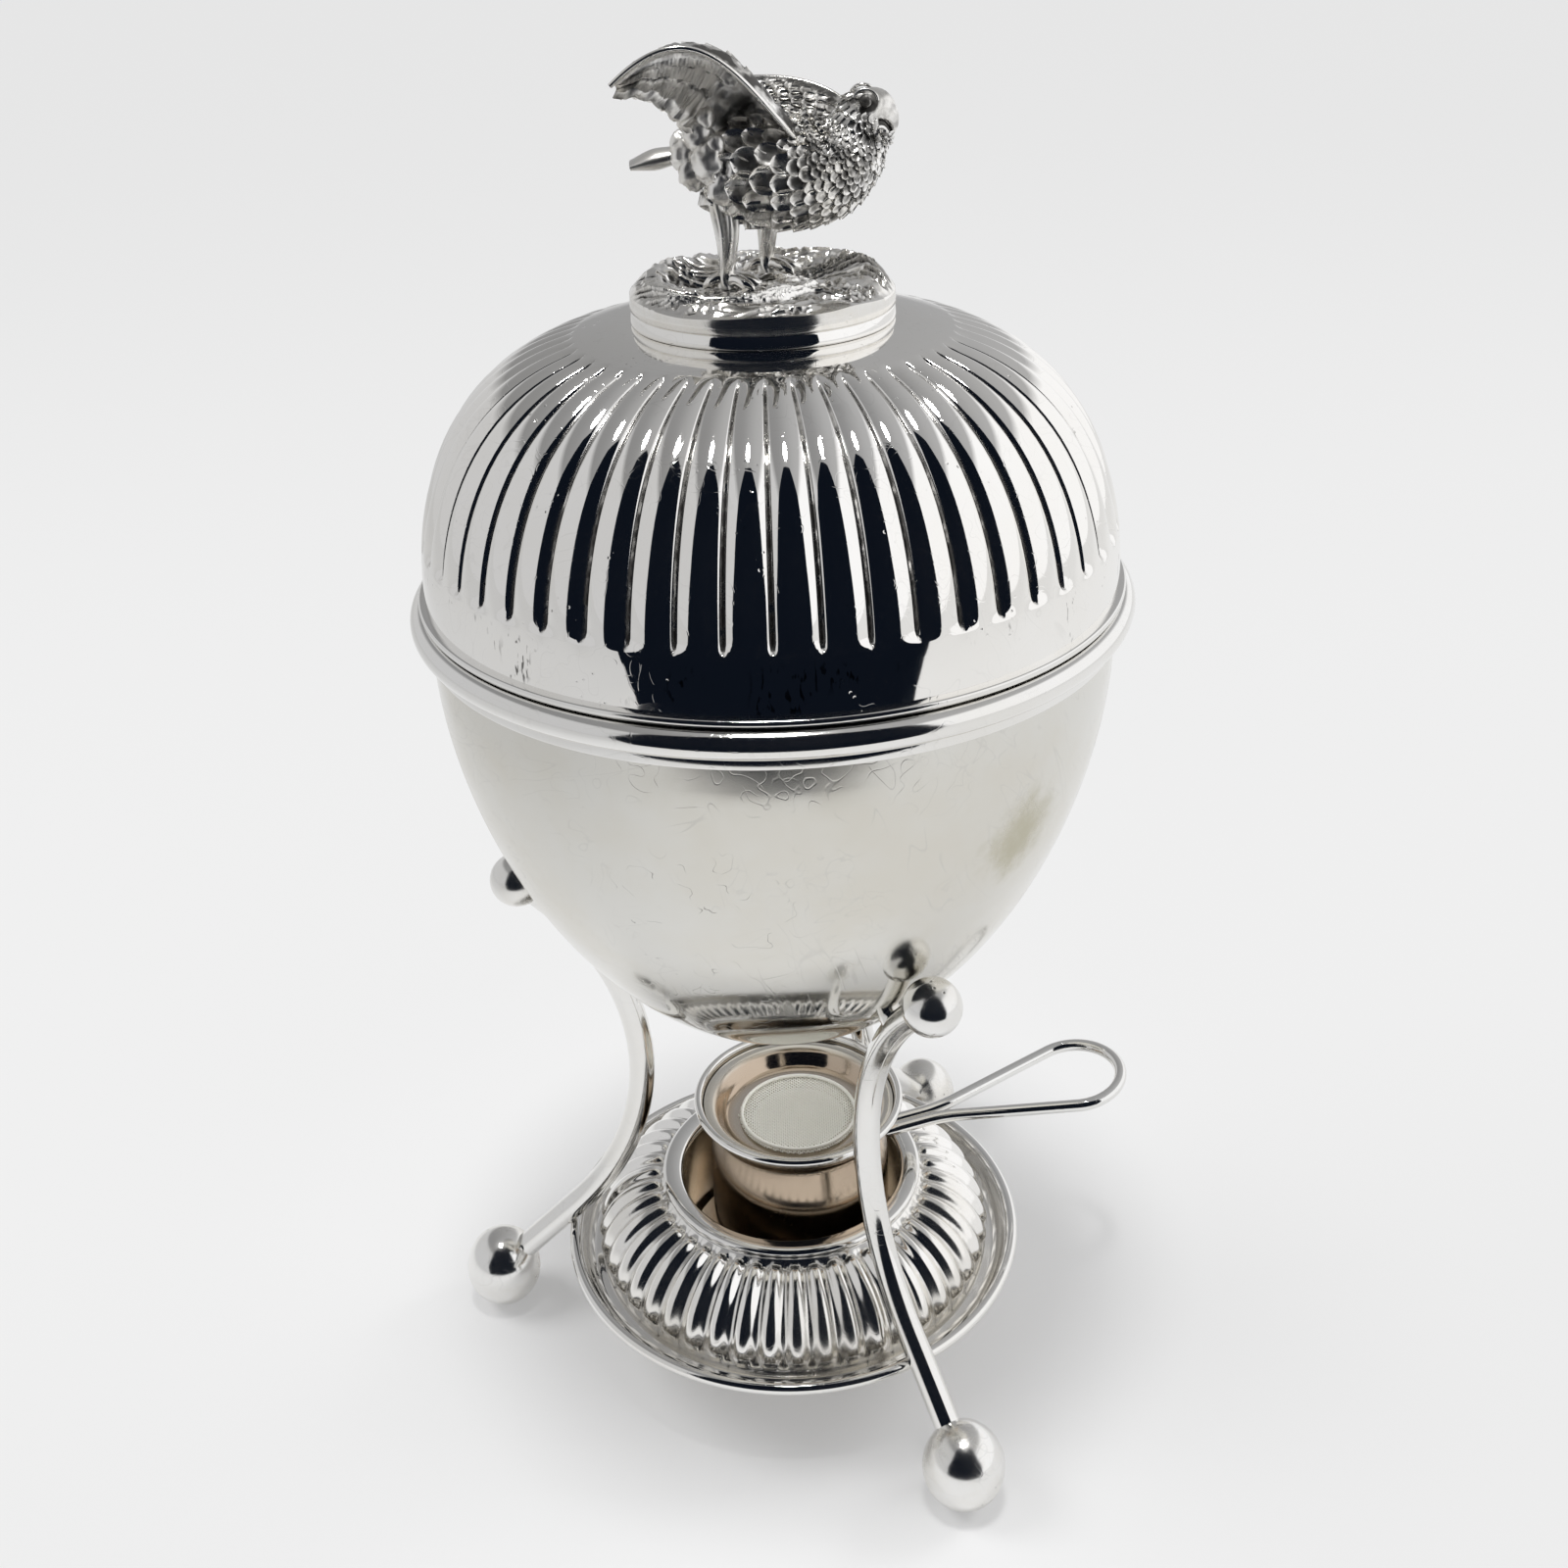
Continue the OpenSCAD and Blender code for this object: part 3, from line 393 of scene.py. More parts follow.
def sweep(path, radius, sides=28, closed=False):
    """A round wire along a path in millimetres; radius may be one value or one per point."""
    path = np.array(path, float)
    count = len(path)
    radii = np.full(count, radius) if np.isscalar(radius) else np.array(radius)
    if closed:
        along = np.roll(path, -1, 0) - np.roll(path, 1, 0)
    else:
        along = np.gradient(path, axis=0)
    along /= np.linalg.norm(along, axis=1)[:, None]
    side = np.cross(along[0], (0.0, 0.0, 1.0))
    if np.linalg.norm(side) < 1e-3:
        side = np.cross(along[0], (0.0, 1.0, 0.0))
    verts = []
    for i in range(count):
        side = side - along[i] * np.dot(side, along[i])
        side /= np.linalg.norm(side)
        other = np.cross(along[i], side)
        for a in turns(sides):
            verts.append((path[i] + radii[i] * (math.cos(a) * side + math.sin(a) * other)) * MM)
    return verts, grid_faces(count, sides, round_rows=True) if closed else capped_faces(count, sides)


def joined(parts):
    verts, faces = [], []
    for more_verts, more_faces in parts:
        base = len(verts)
        verts += list(more_verts)
        faces += [[i + base for i in f] for f in more_faces]
    return verts, faces


def ball(centre, wide, tall, flat=0.0, rows=40, cols=56):
    outline = [(wide * math.cos(a), max(tall * math.sin(a), -tall + flat))
               for a in np.linspace(-math.pi / 2, math.pi / 2, rows)]
    outline[0] = (0.0, outline[0][1])
    outline[-1] = (0.0, tall)
    verts, faces = lathe(outline, cols, closed=False)
    return [np.array(v) + np.array(centre) * MM for v in verts], faces


def shape_tree(name, takes):
    """A Geometry Nodes tree that takes a shape, some values and a material, and gives a shape."""
    shape = ("Geometry", "Geometry")
    return new_tree(name, "GeometryNodeTree", [shape] + takes + [("Finish", "Material")], [shape])


def finish(shape, come, go):
    """End a tree with plain geometry that carries its material."""
    real = put(shape.tree, "GeometryNodeRealizeInstances", {"Geometry": shape})[0]
    done = put(shape.tree, "GeometryNodeSetMaterial", {"Geometry": real, "Material": come["Finish"]})[0]
    done.to(go.inputs[0])


def round_the_axis_tree():
    """Set copies of a piece at equal turns round the bowl's axis."""
    tree, come, go = shape_tree("round_the_axis", [("Count", "Int"), ("Turn", "Float")])
    spots = put(tree, "GeometryNodePoints", {"Count": come["Count"]})[0]
    angle = put(tree, "GeometryNodeInputIndex")[0] / come["Count"] * (2 * math.pi) + come["Turn"]
    spin = put(tree, "ShaderNodeCombineXYZ", {"Z": angle})[0]
    copies = put(tree, "GeometryNodeInstanceOnPoints",
                 {"Points": spots, "Instance": come["Geometry"], "Rotation": spin})[0]
    finish(copies, come, go)
    return tree


def run_tree(tree, mesh, values):
    """Run a tree on a mesh and return the plain mesh that it makes."""
    holder = bpy.data.objects.new("holder", mesh)
    bpy.context.scene.collection.objects.link(holder)
    modifier = holder.modifiers.new("tree", "NODES")
    modifier.node_group = tree
    for socket in tree.interface.items_tree:
        if socket.in_out == "INPUT" and socket.name in values:
            modifier[socket.identifier] = values[socket.name]
    made = bpy.data.meshes.new_from_object(holder.evaluated_get(bpy.context.evaluated_depsgraph_get()))
    holder.modifiers.remove(modifier)
    bpy.data.objects.remove(holder)
    return made


round_the_axis = round_the_axis_tree()


def repeated(name, shape, count, turn, material):
    return run_tree(round_the_axis, mesh_of(name, *shape), {"Count": count, "Turn": turn, "Finish": material})


def leg_point(a):
    return np.array((WAIST_R + LEG_BEND - LEG_BEND * math.cos(a), 0.0, WAIST_Z + LEG_BEND * math.sin(a)))


leg_low, leg_high = leg_point(-LEG_SWEEP), leg_point(ARM_SWEEP)
low_way = np.array((math.sin(LEG_SWEEP), 0.0, -math.cos(LEG_SWEEP)))
high_way = np.array((math.sin(ARM_SWEEP), 0.0, math.cos(ARM_SWEEP)))
lug_way = np.array((-math.cos(LUG_ANGLE), 0.0, math.sin(LUG_ANGLE)))
foot_centre = leg_low + low_way * (leg_low[2] - FOOT_TALL + FOOT_FLAT) / math.cos(LEG_SWEEP)
arm_centre = leg_high + high_way * ARM_RUN
foot_run = np.linalg.norm(foot_centre - leg_low)
leg_path = [foot_centre - low_way * d for d in np.linspace(3.0, foot_run - 1, 12)]
leg_path += [leg_point(a) for a in np.linspace(-LEG_SWEEP, ARM_SWEEP, 70)]
leg_path += [leg_high + high_way * d for d in (1.0, 2.5)]
lug_path = [leg_point(LUG_ANGLE) + lug_way * d for d in np.linspace(0, LUG_LONG, 6)]
ball_plate = plate_material("ball_plate", polish=0.13, haze=0.16, scratch=0.6, sway=0.5, pits=0.6, stain=0.25,
                            cloud_scale=70.0, tint=WIRE_TINT)
for name, shape, material, node in (
        ("leg_rods", joined([sweep(leg_path, LEG_R), sweep(lug_path, LUG_R)]), bright_wire, "leg"),
        ("ball_feet", ball(foot_centre, FOOT_WIDE, FOOT_TALL, FOOT_FLAT), ball_plate, "foot"),
        ("arm_balls", ball(arm_centre, ARM_BALL_R, ARM_BALL_R), ball_plate, "ball")):
    settle(name, repeated(name, shape, LEG_COUNT, LEG_TURN, material), material, "stand",
           [node + "_front", node + "_left", node + "_rear"])

# Burner tray
# A saucer pressed from one sheet: a plain channel, then a high fluted ring round the burner's well.
# Its edge is rolled over a wire, and the wire is soldered to the three legs.
TRAY_Z = 20.2
TRAY_WIRE_R = 1.2
TRAY_RIM_R = 45.012
TRAY_WALL = 0.8
CHANNEL_Z = 16.6
RING_FOOT_R = 39.6
RING_H = 17.0
WELL_R = 22.3
WELL_DEEP = 20.0
ROLL_WIDE = 3.8
ROLL_TALL = 1.8
TRAY_FLUTES = 46
TRAY_FACETS = 20
TRAY_LOBE_OUT = 1.0
TRAY_LOBE_DEEP = 1.15
WELL_TINT = (0.80, 0.72, 0.62, 1.0)
collar_r = WELL_R + ROLL_WIDE / 2
ring_top = CHANNEL_Z + RING_H
collar_z = ring_top + ROLL_TALL / 2 + 0.3
ring_neck = collar_r + 1.2


def mark(mesh, name, values):
    """Store a number, or three, at each point of a mesh."""
    values = np.asarray(values, dtype=np.float32)
    kind, key = ("FLOAT", "value") if values.ndim == 1 else ("FLOAT_VECTOR", "vector")
    mesh.attributes.new(name, kind, "POINT").data.foreach_set(key, values.ravel())
    return mesh


def named(tree, kind, name):
    """What each point of a geometry stores under a name."""
    return put(tree, "GeometryNodeInputNamedAttribute", {"Name": name}, data_type=kind)["Attribute"]


def fluted_shell_tree():
    """Turn a profile round the axis and sink it between flutes: reeds with narrow valleys, or round lobes."""
    sizes = [(name, "Float") for name in ("Depth", "Turn", "Lobes")]
    tree, come, go = shape_tree("fluted_shell", [("Flutes", "Int"), ("Facets", "Int")] + sizes)
    outline = come["Geometry"]
    counted = put(tree, "GeometryNodeAttributeDomainSize", {"Geometry": outline}, component="MESH")
    rows = counted["Point Count"]
    grid = put(tree, "GeometryNodeMeshGrid", {"Size X": 1.0, "Size Y": 1.0, "Vertices Y": rows,
                                              "Vertices X": come["Flutes"] * come["Facets"] + 1.0})["Mesh"]
    place = put(tree, "GeometryNodeInputPosition")[0]
    across = place.axis("X") + 0.5
    row = ((place.axis("Y") + 0.5) * (rows - 1.0)).math("ROUND")

    def of_row(kind, name):
        """What the profile's point stores that a row of the grid is turned from."""
        inputs = {"Geometry": outline, "Value": named(tree, kind, name), "Index": row}
        return put(tree, "GeometryNodeSampleIndex", inputs, data_type=kind, domain="POINT")["Value"]

    share, tip = of_row("FLOAT", "flute"), of_row("FLOAT", "tip")
    off = ((across * come["Flutes"]).math("FRACT") * 2.0 - 1.0).math("ABSOLUTE")
    reed = off ** 2.0 * 0.95 + off.ramp(0.86, 1.0, 0.0, 0.42)
    bend = (tip * tip + off ** 2.6).math("SQRT").math("MINIMUM", 1.0)
    lobe = (bend * math.pi).math("COSINE") * -0.5 + 0.5
    sink = ((lobe - reed) * come["Lobes"] + reed) * (share * come["Depth"])
    pushed = of_row("FLOAT_VECTOR", "outward").vector("SCALE", {"Scale": sink * -1.0})
    sunk = of_row("FLOAT_VECTOR", "position").vector("ADD", {1: pushed})
    radius, angle = sunk.axis("X"), across * (2 * math.pi) + come["Turn"]
    turned = put(tree, "ShaderNodeCombineXYZ", {"X": radius * angle.math("COSINE"),
                                                "Y": radius * angle.math("SINE"), "Z": sunk.axis("Z")})[0]
    valley = off.ramp(0.86, 0.97) * share
    inputs = {"Geometry": grid, "Name": "hollow", "Value": valley}
    marked = put(tree, "GeometryNodeStoreNamedAttribute", inputs, data_type="FLOAT", domain="POINT")[0]
    shaped = put(tree, "GeometryNodeSetPosition", {"Geometry": marked, "Position": turned})[0]
    closed = put(tree, "GeometryNodeMergeByDistance", {"Geometry": shaped, "Distance": 1e-7})[0]
    finish(closed, come, go)
    return tree


fluted_shell = fluted_shell_tree()


def fluted_profile(name, points):
    """A closed profile; a point is its radius, height, flute share, tip, outward radius and height."""
    points = list(points) + [points[0]]
    mesh = bpy.data.meshes.new(name)
    edges = [(i, i + 1) for i in range(len(points) - 1)]
    mesh.from_pydata([(p[0] * MM, 0.0, p[1] * MM) for p in points], edges, [])
    mark(mesh, "flute", [p[2] for p in points])
    mark(mesh, "tip", [p[3] for p in points])
    return mark(mesh, "outward", [(p[4], 0.0, p[5]) for p in points])


def smooth_curve(points, count):
    """A smooth line through a few points."""
    points = np.array(points, float)
    ends = np.vstack([2 * points[0] - points[1], points, 2 * points[-1] - points[-2]])
    out = []
    for t in np.linspace(0, len(points) - 1, count):
        i = min(int(t), len(points) - 2)
        u = t - i
        a, b, c, d = ends[i:i + 4]
        curl = (2 * a - 5 * b + 4 * c - d) * u * u + (3 * b - a - 3 * c + d) * u ** 3
        out.append(0.5 * (2 * b + (c - a) * u + curl))
    return np.array(out)


def ease(value, low, high):
    t = min(max((value - low) / (high - low), 0.0), 1.0)
    return t * t * (3 - 2 * t)


tray_edge = TRAY_RIM_R - TRAY_WIRE_R - 0.05
lobe_r = RING_FOOT_R + TRAY_LOBE_OUT
channel = smooth_curve([(tray_edge, TRAY_Z), (tray_edge - 1.0, CHANNEL_Z + 1.05),
                        (tray_edge - 2.4, CHANNEL_Z), (lobe_r - TRAY_LOBE_DEEP + 0.3, CHANNEL_Z + 0.25)], 16)
tray_top = [(r, z, 0.0, 0.0) for r, z in channel]
for a in np.linspace(0, math.pi / 2, 44):
    over = math.pi / 2 - a
    tip = max((0.30 - a) / 0.22, (0.20 - over) / 0.16, 0.0)
    tray_top.append((ring_neck + (lobe_r - ring_neck) * math.cos(a),
                     CHANNEL_Z + 0.6 + (RING_H - 0.6) * math.sin(a), ease(over, 0.0, 0.12), tip))
tray_top.append((WELL_R + TRAY_WALL + 0.3, ring_top + 0.1, 0.0, 0.0))
step = np.gradient(np.array([p[:2] for p in tray_top]), axis=0)
step /= np.linalg.norm(step, axis=1)[:, None]
upper = [p + (s[1], -s[0]) for p, s in zip(tray_top, step)]
under = [(p[0] - TRAY_WALL * p[4], p[1] - TRAY_WALL * p[5]) + p[2:] for p in upper[1::2][::-1]]
under[-1] = (tray_edge, TRAY_Z - TRAY_WALL, 0.0, 0.0, 1.0, 0.0)
tray_plate = plate_material("tray_plate", polish=0.09, haze=0.12, scratch=0.4, hollow=0.35)
tray_mesh = run_tree(fluted_shell, fluted_profile("tray_profile", upper + under), {
    "Flutes": TRAY_FLUTES, "Facets": TRAY_FACETS, "Depth": TRAY_LOBE_DEEP * MM, "Turn": 0.0, "Lobes": 1.0,
    "Finish": tray_plate})
settle("burner_tray", tray_mesh, tray_plate, "stand", ["tray"])


def ring_wire(radius, wide, tall, z, steps=200, sides=28):
    """A ring of oval wire, its half width and half height given."""
    return lathe([(radius + wide * math.cos(a), z + tall * math.sin(a)) for a in turns(sides)], steps)


settle("tray_edge_wire", ring_wire(TRAY_RIM_R, TRAY_WIRE_R, TRAY_WIRE_R, TRAY_Z), bright_wire, "stand",
       ["tray_rim"])
settle("well_collar_roll", ring_wire(collar_r, ROLL_WIDE / 2, ROLL_TALL / 2, collar_z), bright_wire, "stand",
       ["well_collar"])
well_floor = collar_z - WELL_DEEP
well = [(0, well_floor), (WELL_R - 1.0, well_floor), (WELL_R, well_floor + 1.0), (WELL_R, ring_top),
        (WELL_R + TRAY_WALL, ring_top), (WELL_R + TRAY_WALL, well_floor + 0.4),
        (WELL_R - 0.4, well_floor - TRAY_WALL), (0, well_floor - TRAY_WALL)]
well_plate = plate_material("well_plate", polish=0.16, haze=0.2, scratch=0.4, stain=0.6, tint=WELL_TINT)
settle("burner_well", lathe(well, 160, closed=False), well_plate, "stand", ["well_cup"])

# Spirit burner
# A straight spun cup with a round bottom and a flared, wired lip; heat has tinted it brown.
# A dished top with a ledge is pressed into it, and the whole burner stands loose in the tray's well.
BURNER_Z = well_floor + 0.3
BURNER_H = 38.0
BURNER_OFF = 1.8
BELLY_R = 17.9
BELLY_TOP = 0.56
NECK_R = 17.3
NECK_AT = 0.84
BURNER_WIRE_R = 0.8
BURNER_WALL = 0.8
LIP_R = 19.9
BASE_ROUND = 9.0
GAUZE_R = 12.0
GAUZE_T = 0.5
COVER_T = 0.7
COVER_LEDGE = 2.4
BURNER_TINT = (0.86, 0.84, 0.79, 1.0)
HEAT_TINT = (0.54, 0.435, 0.33, 1.0)
lip_z = BURNER_H - 2 * BURNER_WIRE_R
neck_z = NECK_AT * BURNER_H
gauze_z = BURNER_Z + BURNER_H - 5.2


def eased(a, b, t):
    return a + (b - a) * (0.5 - 0.5 * math.cos(math.pi * t))


def burner_curve(inset):
    out = [(BELLY_R - BASE_ROUND + (BASE_ROUND - inset) * math.sin(a) - 0.4 * math.cos(a),
            BASE_ROUND - (BASE_ROUND - inset) * math.cos(a)) for a in np.linspace(0, math.pi / 2, 12)]
    out += [(BELLY_R - inset, z) for z in np.linspace(BASE_ROUND + 1, 0.5 * BURNER_H, 6)]
    out += [(eased(BELLY_R, NECK_R, t) - inset, BURNER_H * (BELLY_TOP + (NECK_AT - BELLY_TOP) * t))
            for t in np.linspace(0, 1, 20)]
    out += [(eased(NECK_R, LIP_R, t) - inset, neck_z + (lip_z - neck_z) * t) for t in np.linspace(0.1, 1, 12)]
    return [(r, z + BURNER_Z) for r, z in out]


def beside(shape):
    """Move a turned shape from the bowl's axis to the burner's."""
    verts, faces = shape
    return [(x + BURNER_OFF * MM, y, z) for x, y, z in verts], faces


def heated(name, shape, reach, brown, of_point):
    """A mesh that stores how brown heat left each point, by its distance from the axis or its height."""
    warm = [np.interp(of_point(v) / MM, reach, brown) for v in shape[0]]
    return mark(mesh_of(name, *beside(shape)), "browned", warm)


def from_axis(p):
    return math.hypot(p[0], p[1])


def over_base(p):
    return p[2] - BURNER_Z * MM


heated_plate = plate_material("heated_plate", polish=0.10, haze=0.14, scratch=0.4, sway=0.4, stain=0.4,
                              tint=BURNER_TINT, cloud_scale=40.0, heat=HEAT_TINT)
cup = [(0, BURNER_Z)] + burner_curve(0) + burner_curve(BURNER_WALL)[::-1] + [(0, BURNER_Z + BURNER_WALL)]
cup_mesh = heated("burner_cup_shell", lathe(cup, 180, closed=False), (10, 32, 35, 37), (1.0, 1.0, 0.7, 0.2),
                  over_base)
settle("burner_cup_shell", cup_mesh, heated_plate, "burner", ["burner_cup"])
lip_wire = ring_wire(LIP_R, BURNER_WIRE_R, BURNER_WIRE_R, BURNER_Z + BURNER_H - BURNER_WIRE_R, 160, 20)
settle("burner_lip_wire", beside(lip_wire), bright_wire, "burner", ["burner_rim"])
low = gauze_z - GAUZE_T
high = BURNER_Z + lip_z
dish = [tuple(p) for p in smooth_curve([
    (GAUZE_R + 0.05, low), (13.4, low + 0.12), (14.6, low + 0.7), (15.6, high - 2.0), (16.6, high - 0.75),
    (17.7, high - 0.15), (LIP_R - BURNER_WALL - 0.3, high)], 30)]
dish += [(r - 0.15, z - COVER_T) for r, z in dish[::-1]]
dish += [(GAUZE_R - COVER_LEDGE, low - COVER_T), (GAUZE_R - COVER_LEDGE, low)]
dish_mesh = heated("burner_dish", lathe(dish, 160), (12.9, 14.2, 16.4, 17.3), (0.55, 1.0, 0.9, 0.05),
                   from_axis)
settle("burner_dish", dish_mesh, heated_plate, "burner", ["burner_cover"])

# Gauze, its ring and the wick pad
# A disc of woven wire held on the ledge by a sprung ring, over a pad of absorbent packing.
GAUZE_PITCH = 0.42
GAUZE_WIRE = 0.22
GAUZE_RING = 0.35
GAUZE_TINT = (0.98, 0.97, 0.90, 1.0)
WOOL_DARK = (0.80, 0.77, 0.70, 1.0)
WOOL_PALE = (0.95, 0.93, 0.88, 1.0)
gauze_wire = plate_material("gauze_wire", polish=0.50, haze=0.1, scratch=0.2, stain=0.05, tint=GAUZE_TINT)
gauze_wire.node_tree.nodes["Principled BSDF"].inputs["Metallic"].default_value = 0.2


def weave_tree():
    """Set waved wires side by side across a round gauze, each cut to the round by its own length."""
    sizes = [(name, "Float") for name in ("Pitch", "Wire", "Radius", "Shift")]
    tree, come, go = shape_tree("gauze_weave", [("Wires", "Int")] + sizes)
    pitch, radius, count = come["Pitch"], come["Radius"], come["Wires"]
    half = come["Wire"] * 0.5
    grid = put(tree, "GeometryNodeMeshGrid", {"Size X": 1.0, "Size Y": 1.0, "Vertices X": count,
                                              "Vertices Y": count * 2.0 + 1.0})["Mesh"]
    place = put(tree, "GeometryNodeInputPosition")[0]
    x = place.axis("X") * (count * pitch)
    ratio = x / radius
    chord = (ratio * ratio * -1.0 + 1.0).math("MAXIMUM", 0.0004).math("SQRT")
    y = place.axis("Y") * 2.0 * (chord * radius)
    wave = ((y / pitch + x / pitch) * math.pi + come["Shift"]).math("COSINE")
    spot = put(tree, "ShaderNodeCombineXYZ", {"X": x, "Y": y, "Z": wave * half})[0]
    moved = put(tree, "GeometryNodeSetPosition", {"Geometry": grid, "Position": spot})[0]
    ends = put(tree, "GeometryNodeInputMeshEdgeVertices")
    run = ends["Position 1"].vector("SUBTRACT", {1: ends["Position 2"]})
    sideways = run.axis("X").math("ABSOLUTE").math("GREATER_THAN", pitch * 0.5)
    bare = put(tree, "GeometryNodeDeleteGeometry", {"Geometry": moved, "Selection": sideways}, domain="EDGE",
               mode="EDGE_FACE")[0]
    curves = put(tree, "GeometryNodeMeshToCurve", {"Mesh": bare})[0]
    section = put(tree, "GeometryNodeCurvePrimitiveCircle", {"Resolution": 5, "Radius": half})[0]
    inputs = {"Curve": curves, "Profile Curve": section, "Fill Caps": True}
    finish(put(tree, "GeometryNodeCurveToMesh", inputs)[0], come, go)
    return tree


gauze_weave = weave_tree()
weft = bmesh.new()
for shift, turn in ((0.0, 0.0), (math.pi, math.pi / 2)):
    layer = run_tree(gauze_weave, bpy.data.meshes.new("weft"), {
        "Pitch": GAUZE_PITCH * MM, "Wire": GAUZE_WIRE * MM, "Radius": (GAUZE_R - 0.2) * MM,
        "Wires": int(2 * GAUZE_R / GAUZE_PITCH), "Shift": shift, "Finish": gauze_wire})
    middle = Matrix.Translation((BURNER_OFF * MM, 0, (gauze_z - GAUZE_T / 2) * MM))
    layer.transform(middle @ Matrix.Rotation(turn, 4, "Z"))
    weft.from_mesh(layer)
gauze_mesh = bpy.data.meshes.new("gauze_cloth")
weft.to_mesh(gauze_mesh)
weft.free()
settle("gauze_cloth", gauze_mesh, gauze_wire, "burner", ["gauze_disc"])
spring_ring = ring_wire(GAUZE_R - 2 * GAUZE_RING, GAUZE_RING, GAUZE_RING, gauze_z + GAUZE_RING, 140, 16)
settle("gauze_spring_ring", beside(spring_ring), gauze_wire, "burner", ["gauze_ring"])
pad_r = GAUZE_R - COVER_LEDGE - 0.3
pad_low, pad_high = BURNER_Z + BURNER_WALL + 0.3, gauze_z - GAUZE_T
pad = [(0, pad_low), (pad_r - 0.6, pad_low), (pad_r, pad_low + 0.6), (pad_r, pad_high - 0.8),
       (pad_r - 0.8, pad_high - 0.1), (0, pad_high - 0.05)]
wick_wool, tree, shader, place = new_material("wick_wool")
wool = place.mottle(1500.0, 8.0, 0.7)
mix_colour(wool, WOOL_DARK, WOOL_PALE).to(shader.inputs["Base Color"])
put(tree, "ShaderNodeBump", {"Height": wool, "Distance": 0.0006})[0].to(shader.inputs["Normal"])
shader.inputs["Roughness"].default_value = 0.95
settle("wick_packing", beside(lathe(pad, 96, closed=False)), wick_wool, "burner", ["wick_pad"])

# Burner handle
# One wire doubled at its root, soldered to the burner's side and spread into a teardrop loop.
HANDLE_R = 1.25
HANDLE_SIDE = 1.3
HANDLE_BEND = 25.0
HANDLE_SPREAD = math.radians(16.3)
HANDLE_REACH = 58.8
HANDLE_TIP = 9.4
HANDLE_Z = 22.9
HANDLE_RISE = math.radians(8.1)
HANDLE_TURN = math.radians(10.9)
run, rise = math.cos(HANDLE_SPREAD), math.sin(HANDLE_SPREAD)
slant = (HANDLE_TIP * run - HANDLE_SIDE - HANDLE_BEND * (1 - run)) / rise
bend_x = HANDLE_REACH - HANDLE_TIP * rise - slant * run - HANDLE_BEND * rise
half = [(x, HANDLE_SIDE) for x in np.linspace(BELLY_R, bend_x - 0.5, 8)]
half += [(bend_x + HANDLE_BEND * math.sin(a), HANDLE_SIDE + HANDLE_BEND * (1 - math.cos(a)))
         for a in np.linspace(0, HANDLE_SPREAD, 12)]
corner = half[-1]
half += [(corner[0] + slant * run * t, corner[1] + slant * rise * t) for t in np.linspace(0.08, 0.95, 16)]
half += [(HANDLE_REACH + HANDLE_TIP * math.cos(a), HANDLE_TIP * math.sin(a))
         for a in np.linspace(math.pi / 2 + HANDLE_SPREAD, 0, 26, endpoint=False)]
loop = half + [(HANDLE_REACH + HANDLE_TIP, 0.0)] + [(x, -y) for x, y in half[::-1]]
stand_at = (Matrix.Translation((BURNER_OFF, 0, BURNER_Z + HANDLE_Z)) @ Matrix.Rotation(HANDLE_TURN, 4, "Z")
            @ Matrix.Rotation(-HANDLE_RISE, 4, "Y"))
handle_path = [tuple(stand_at @ Vector((x, y, 0.0))) for x, y in loop]
settle("handle_loop", sweep(handle_path, HANDLE_R, 24), bright_wire, "burner",
       ["burner_handle"])

# Egg rack
# Four wire rings on a stem, over a pierced plate on ball feet, lifted out by a ring.
# It stands inside the bowl, so it keeps its polish.
EGGS = 4
EGG_RING_R = 18.6
EGG_REACH = 28.5
RACK_WIRE = 1.1
RING_LEVEL = 126.0
STEM_TOP = 150.0
LIFT_RING_R = 9.0
rack_finish = plate_material("rack_plate_finish", polish=0.09, haze=0.12, scratch=0.5, stain=0.3)


def finish_nodes(names, material):
    """Give CAD pieces that are shown as they are their material."""
    for name in names:
        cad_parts[name].data.materials.clear()
        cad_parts[name].data.materials.append(material)


egg_path = [(EGG_REACH + EGG_RING_R * math.cos(a), EGG_RING_R * math.sin(a), RING_LEVEL) for a in turns(96)]
egg_ring = sweep(egg_path, RACK_WIRE, 20, closed=True)
egg_rings = repeated("egg_ring_wire", egg_ring, EGGS, math.pi / EGGS, rack_finish)
settle("egg_ring_wires", egg_rings, rack_finish, "egg_rack",
       ["egg_ring_%d" % (k + 1) for k in range(EGGS)])
lift_path = [(LIFT_RING_R * math.sin(a), 0.0, STEM_TOP + LIFT_RING_R - LIFT_RING_R * math.cos(a))
             for a in turns(72)]
lift_ring = sweep(lift_path, RACK_WIRE, 20, closed=True)
settle("lifting_ring_wire", lift_ring, rack_finish, "egg_rack", ["rack_ring"])
finish_nodes(("rack_stem", "rack_spokes", "rack_plate", "rack_feet"), rack_finish)

# Lid
# A stamped and spun dome with long convex flutes between a plain band and a plain crown.
# A flat flange rests on the bead and a bezel drops into the bowl; oxide has stayed in the valleys.
LID_R = 57.2
FLANGE_Z = RIM_Z + 0.3
FLANGE_T = 1.2
FLANGE_OUT = 1.1
LID_H = 41.0
LID_WALL = 0.8
PLAIN_BAND = 8.6
CROWN_R = 29.5
LID_FLUTES = 51
LID_FACETS = 28
LID_FLUTE_DEEP = 1.1
DOME_M = 3.6
DOME_N = 2.1
DOME_CUT = 0.986
BEZEL_T = 0.8
BEZEL_DEEP = 7.0
BEZEL_GAP = 0.4
STUD_HOLE = 2.2
VALLEY_TURN = math.radians(-90.2)
lid_z = FLANGE_Z + FLANGE_T
dome_h = LID_H / DOME_CUT
crown_z = lid_z + LID_H


def dome_point(a):
    return LID_R * max(math.cos(a), 0.0) ** (2 / DOME_M), dome_h * math.sin(a) ** (2 / DOME_N)


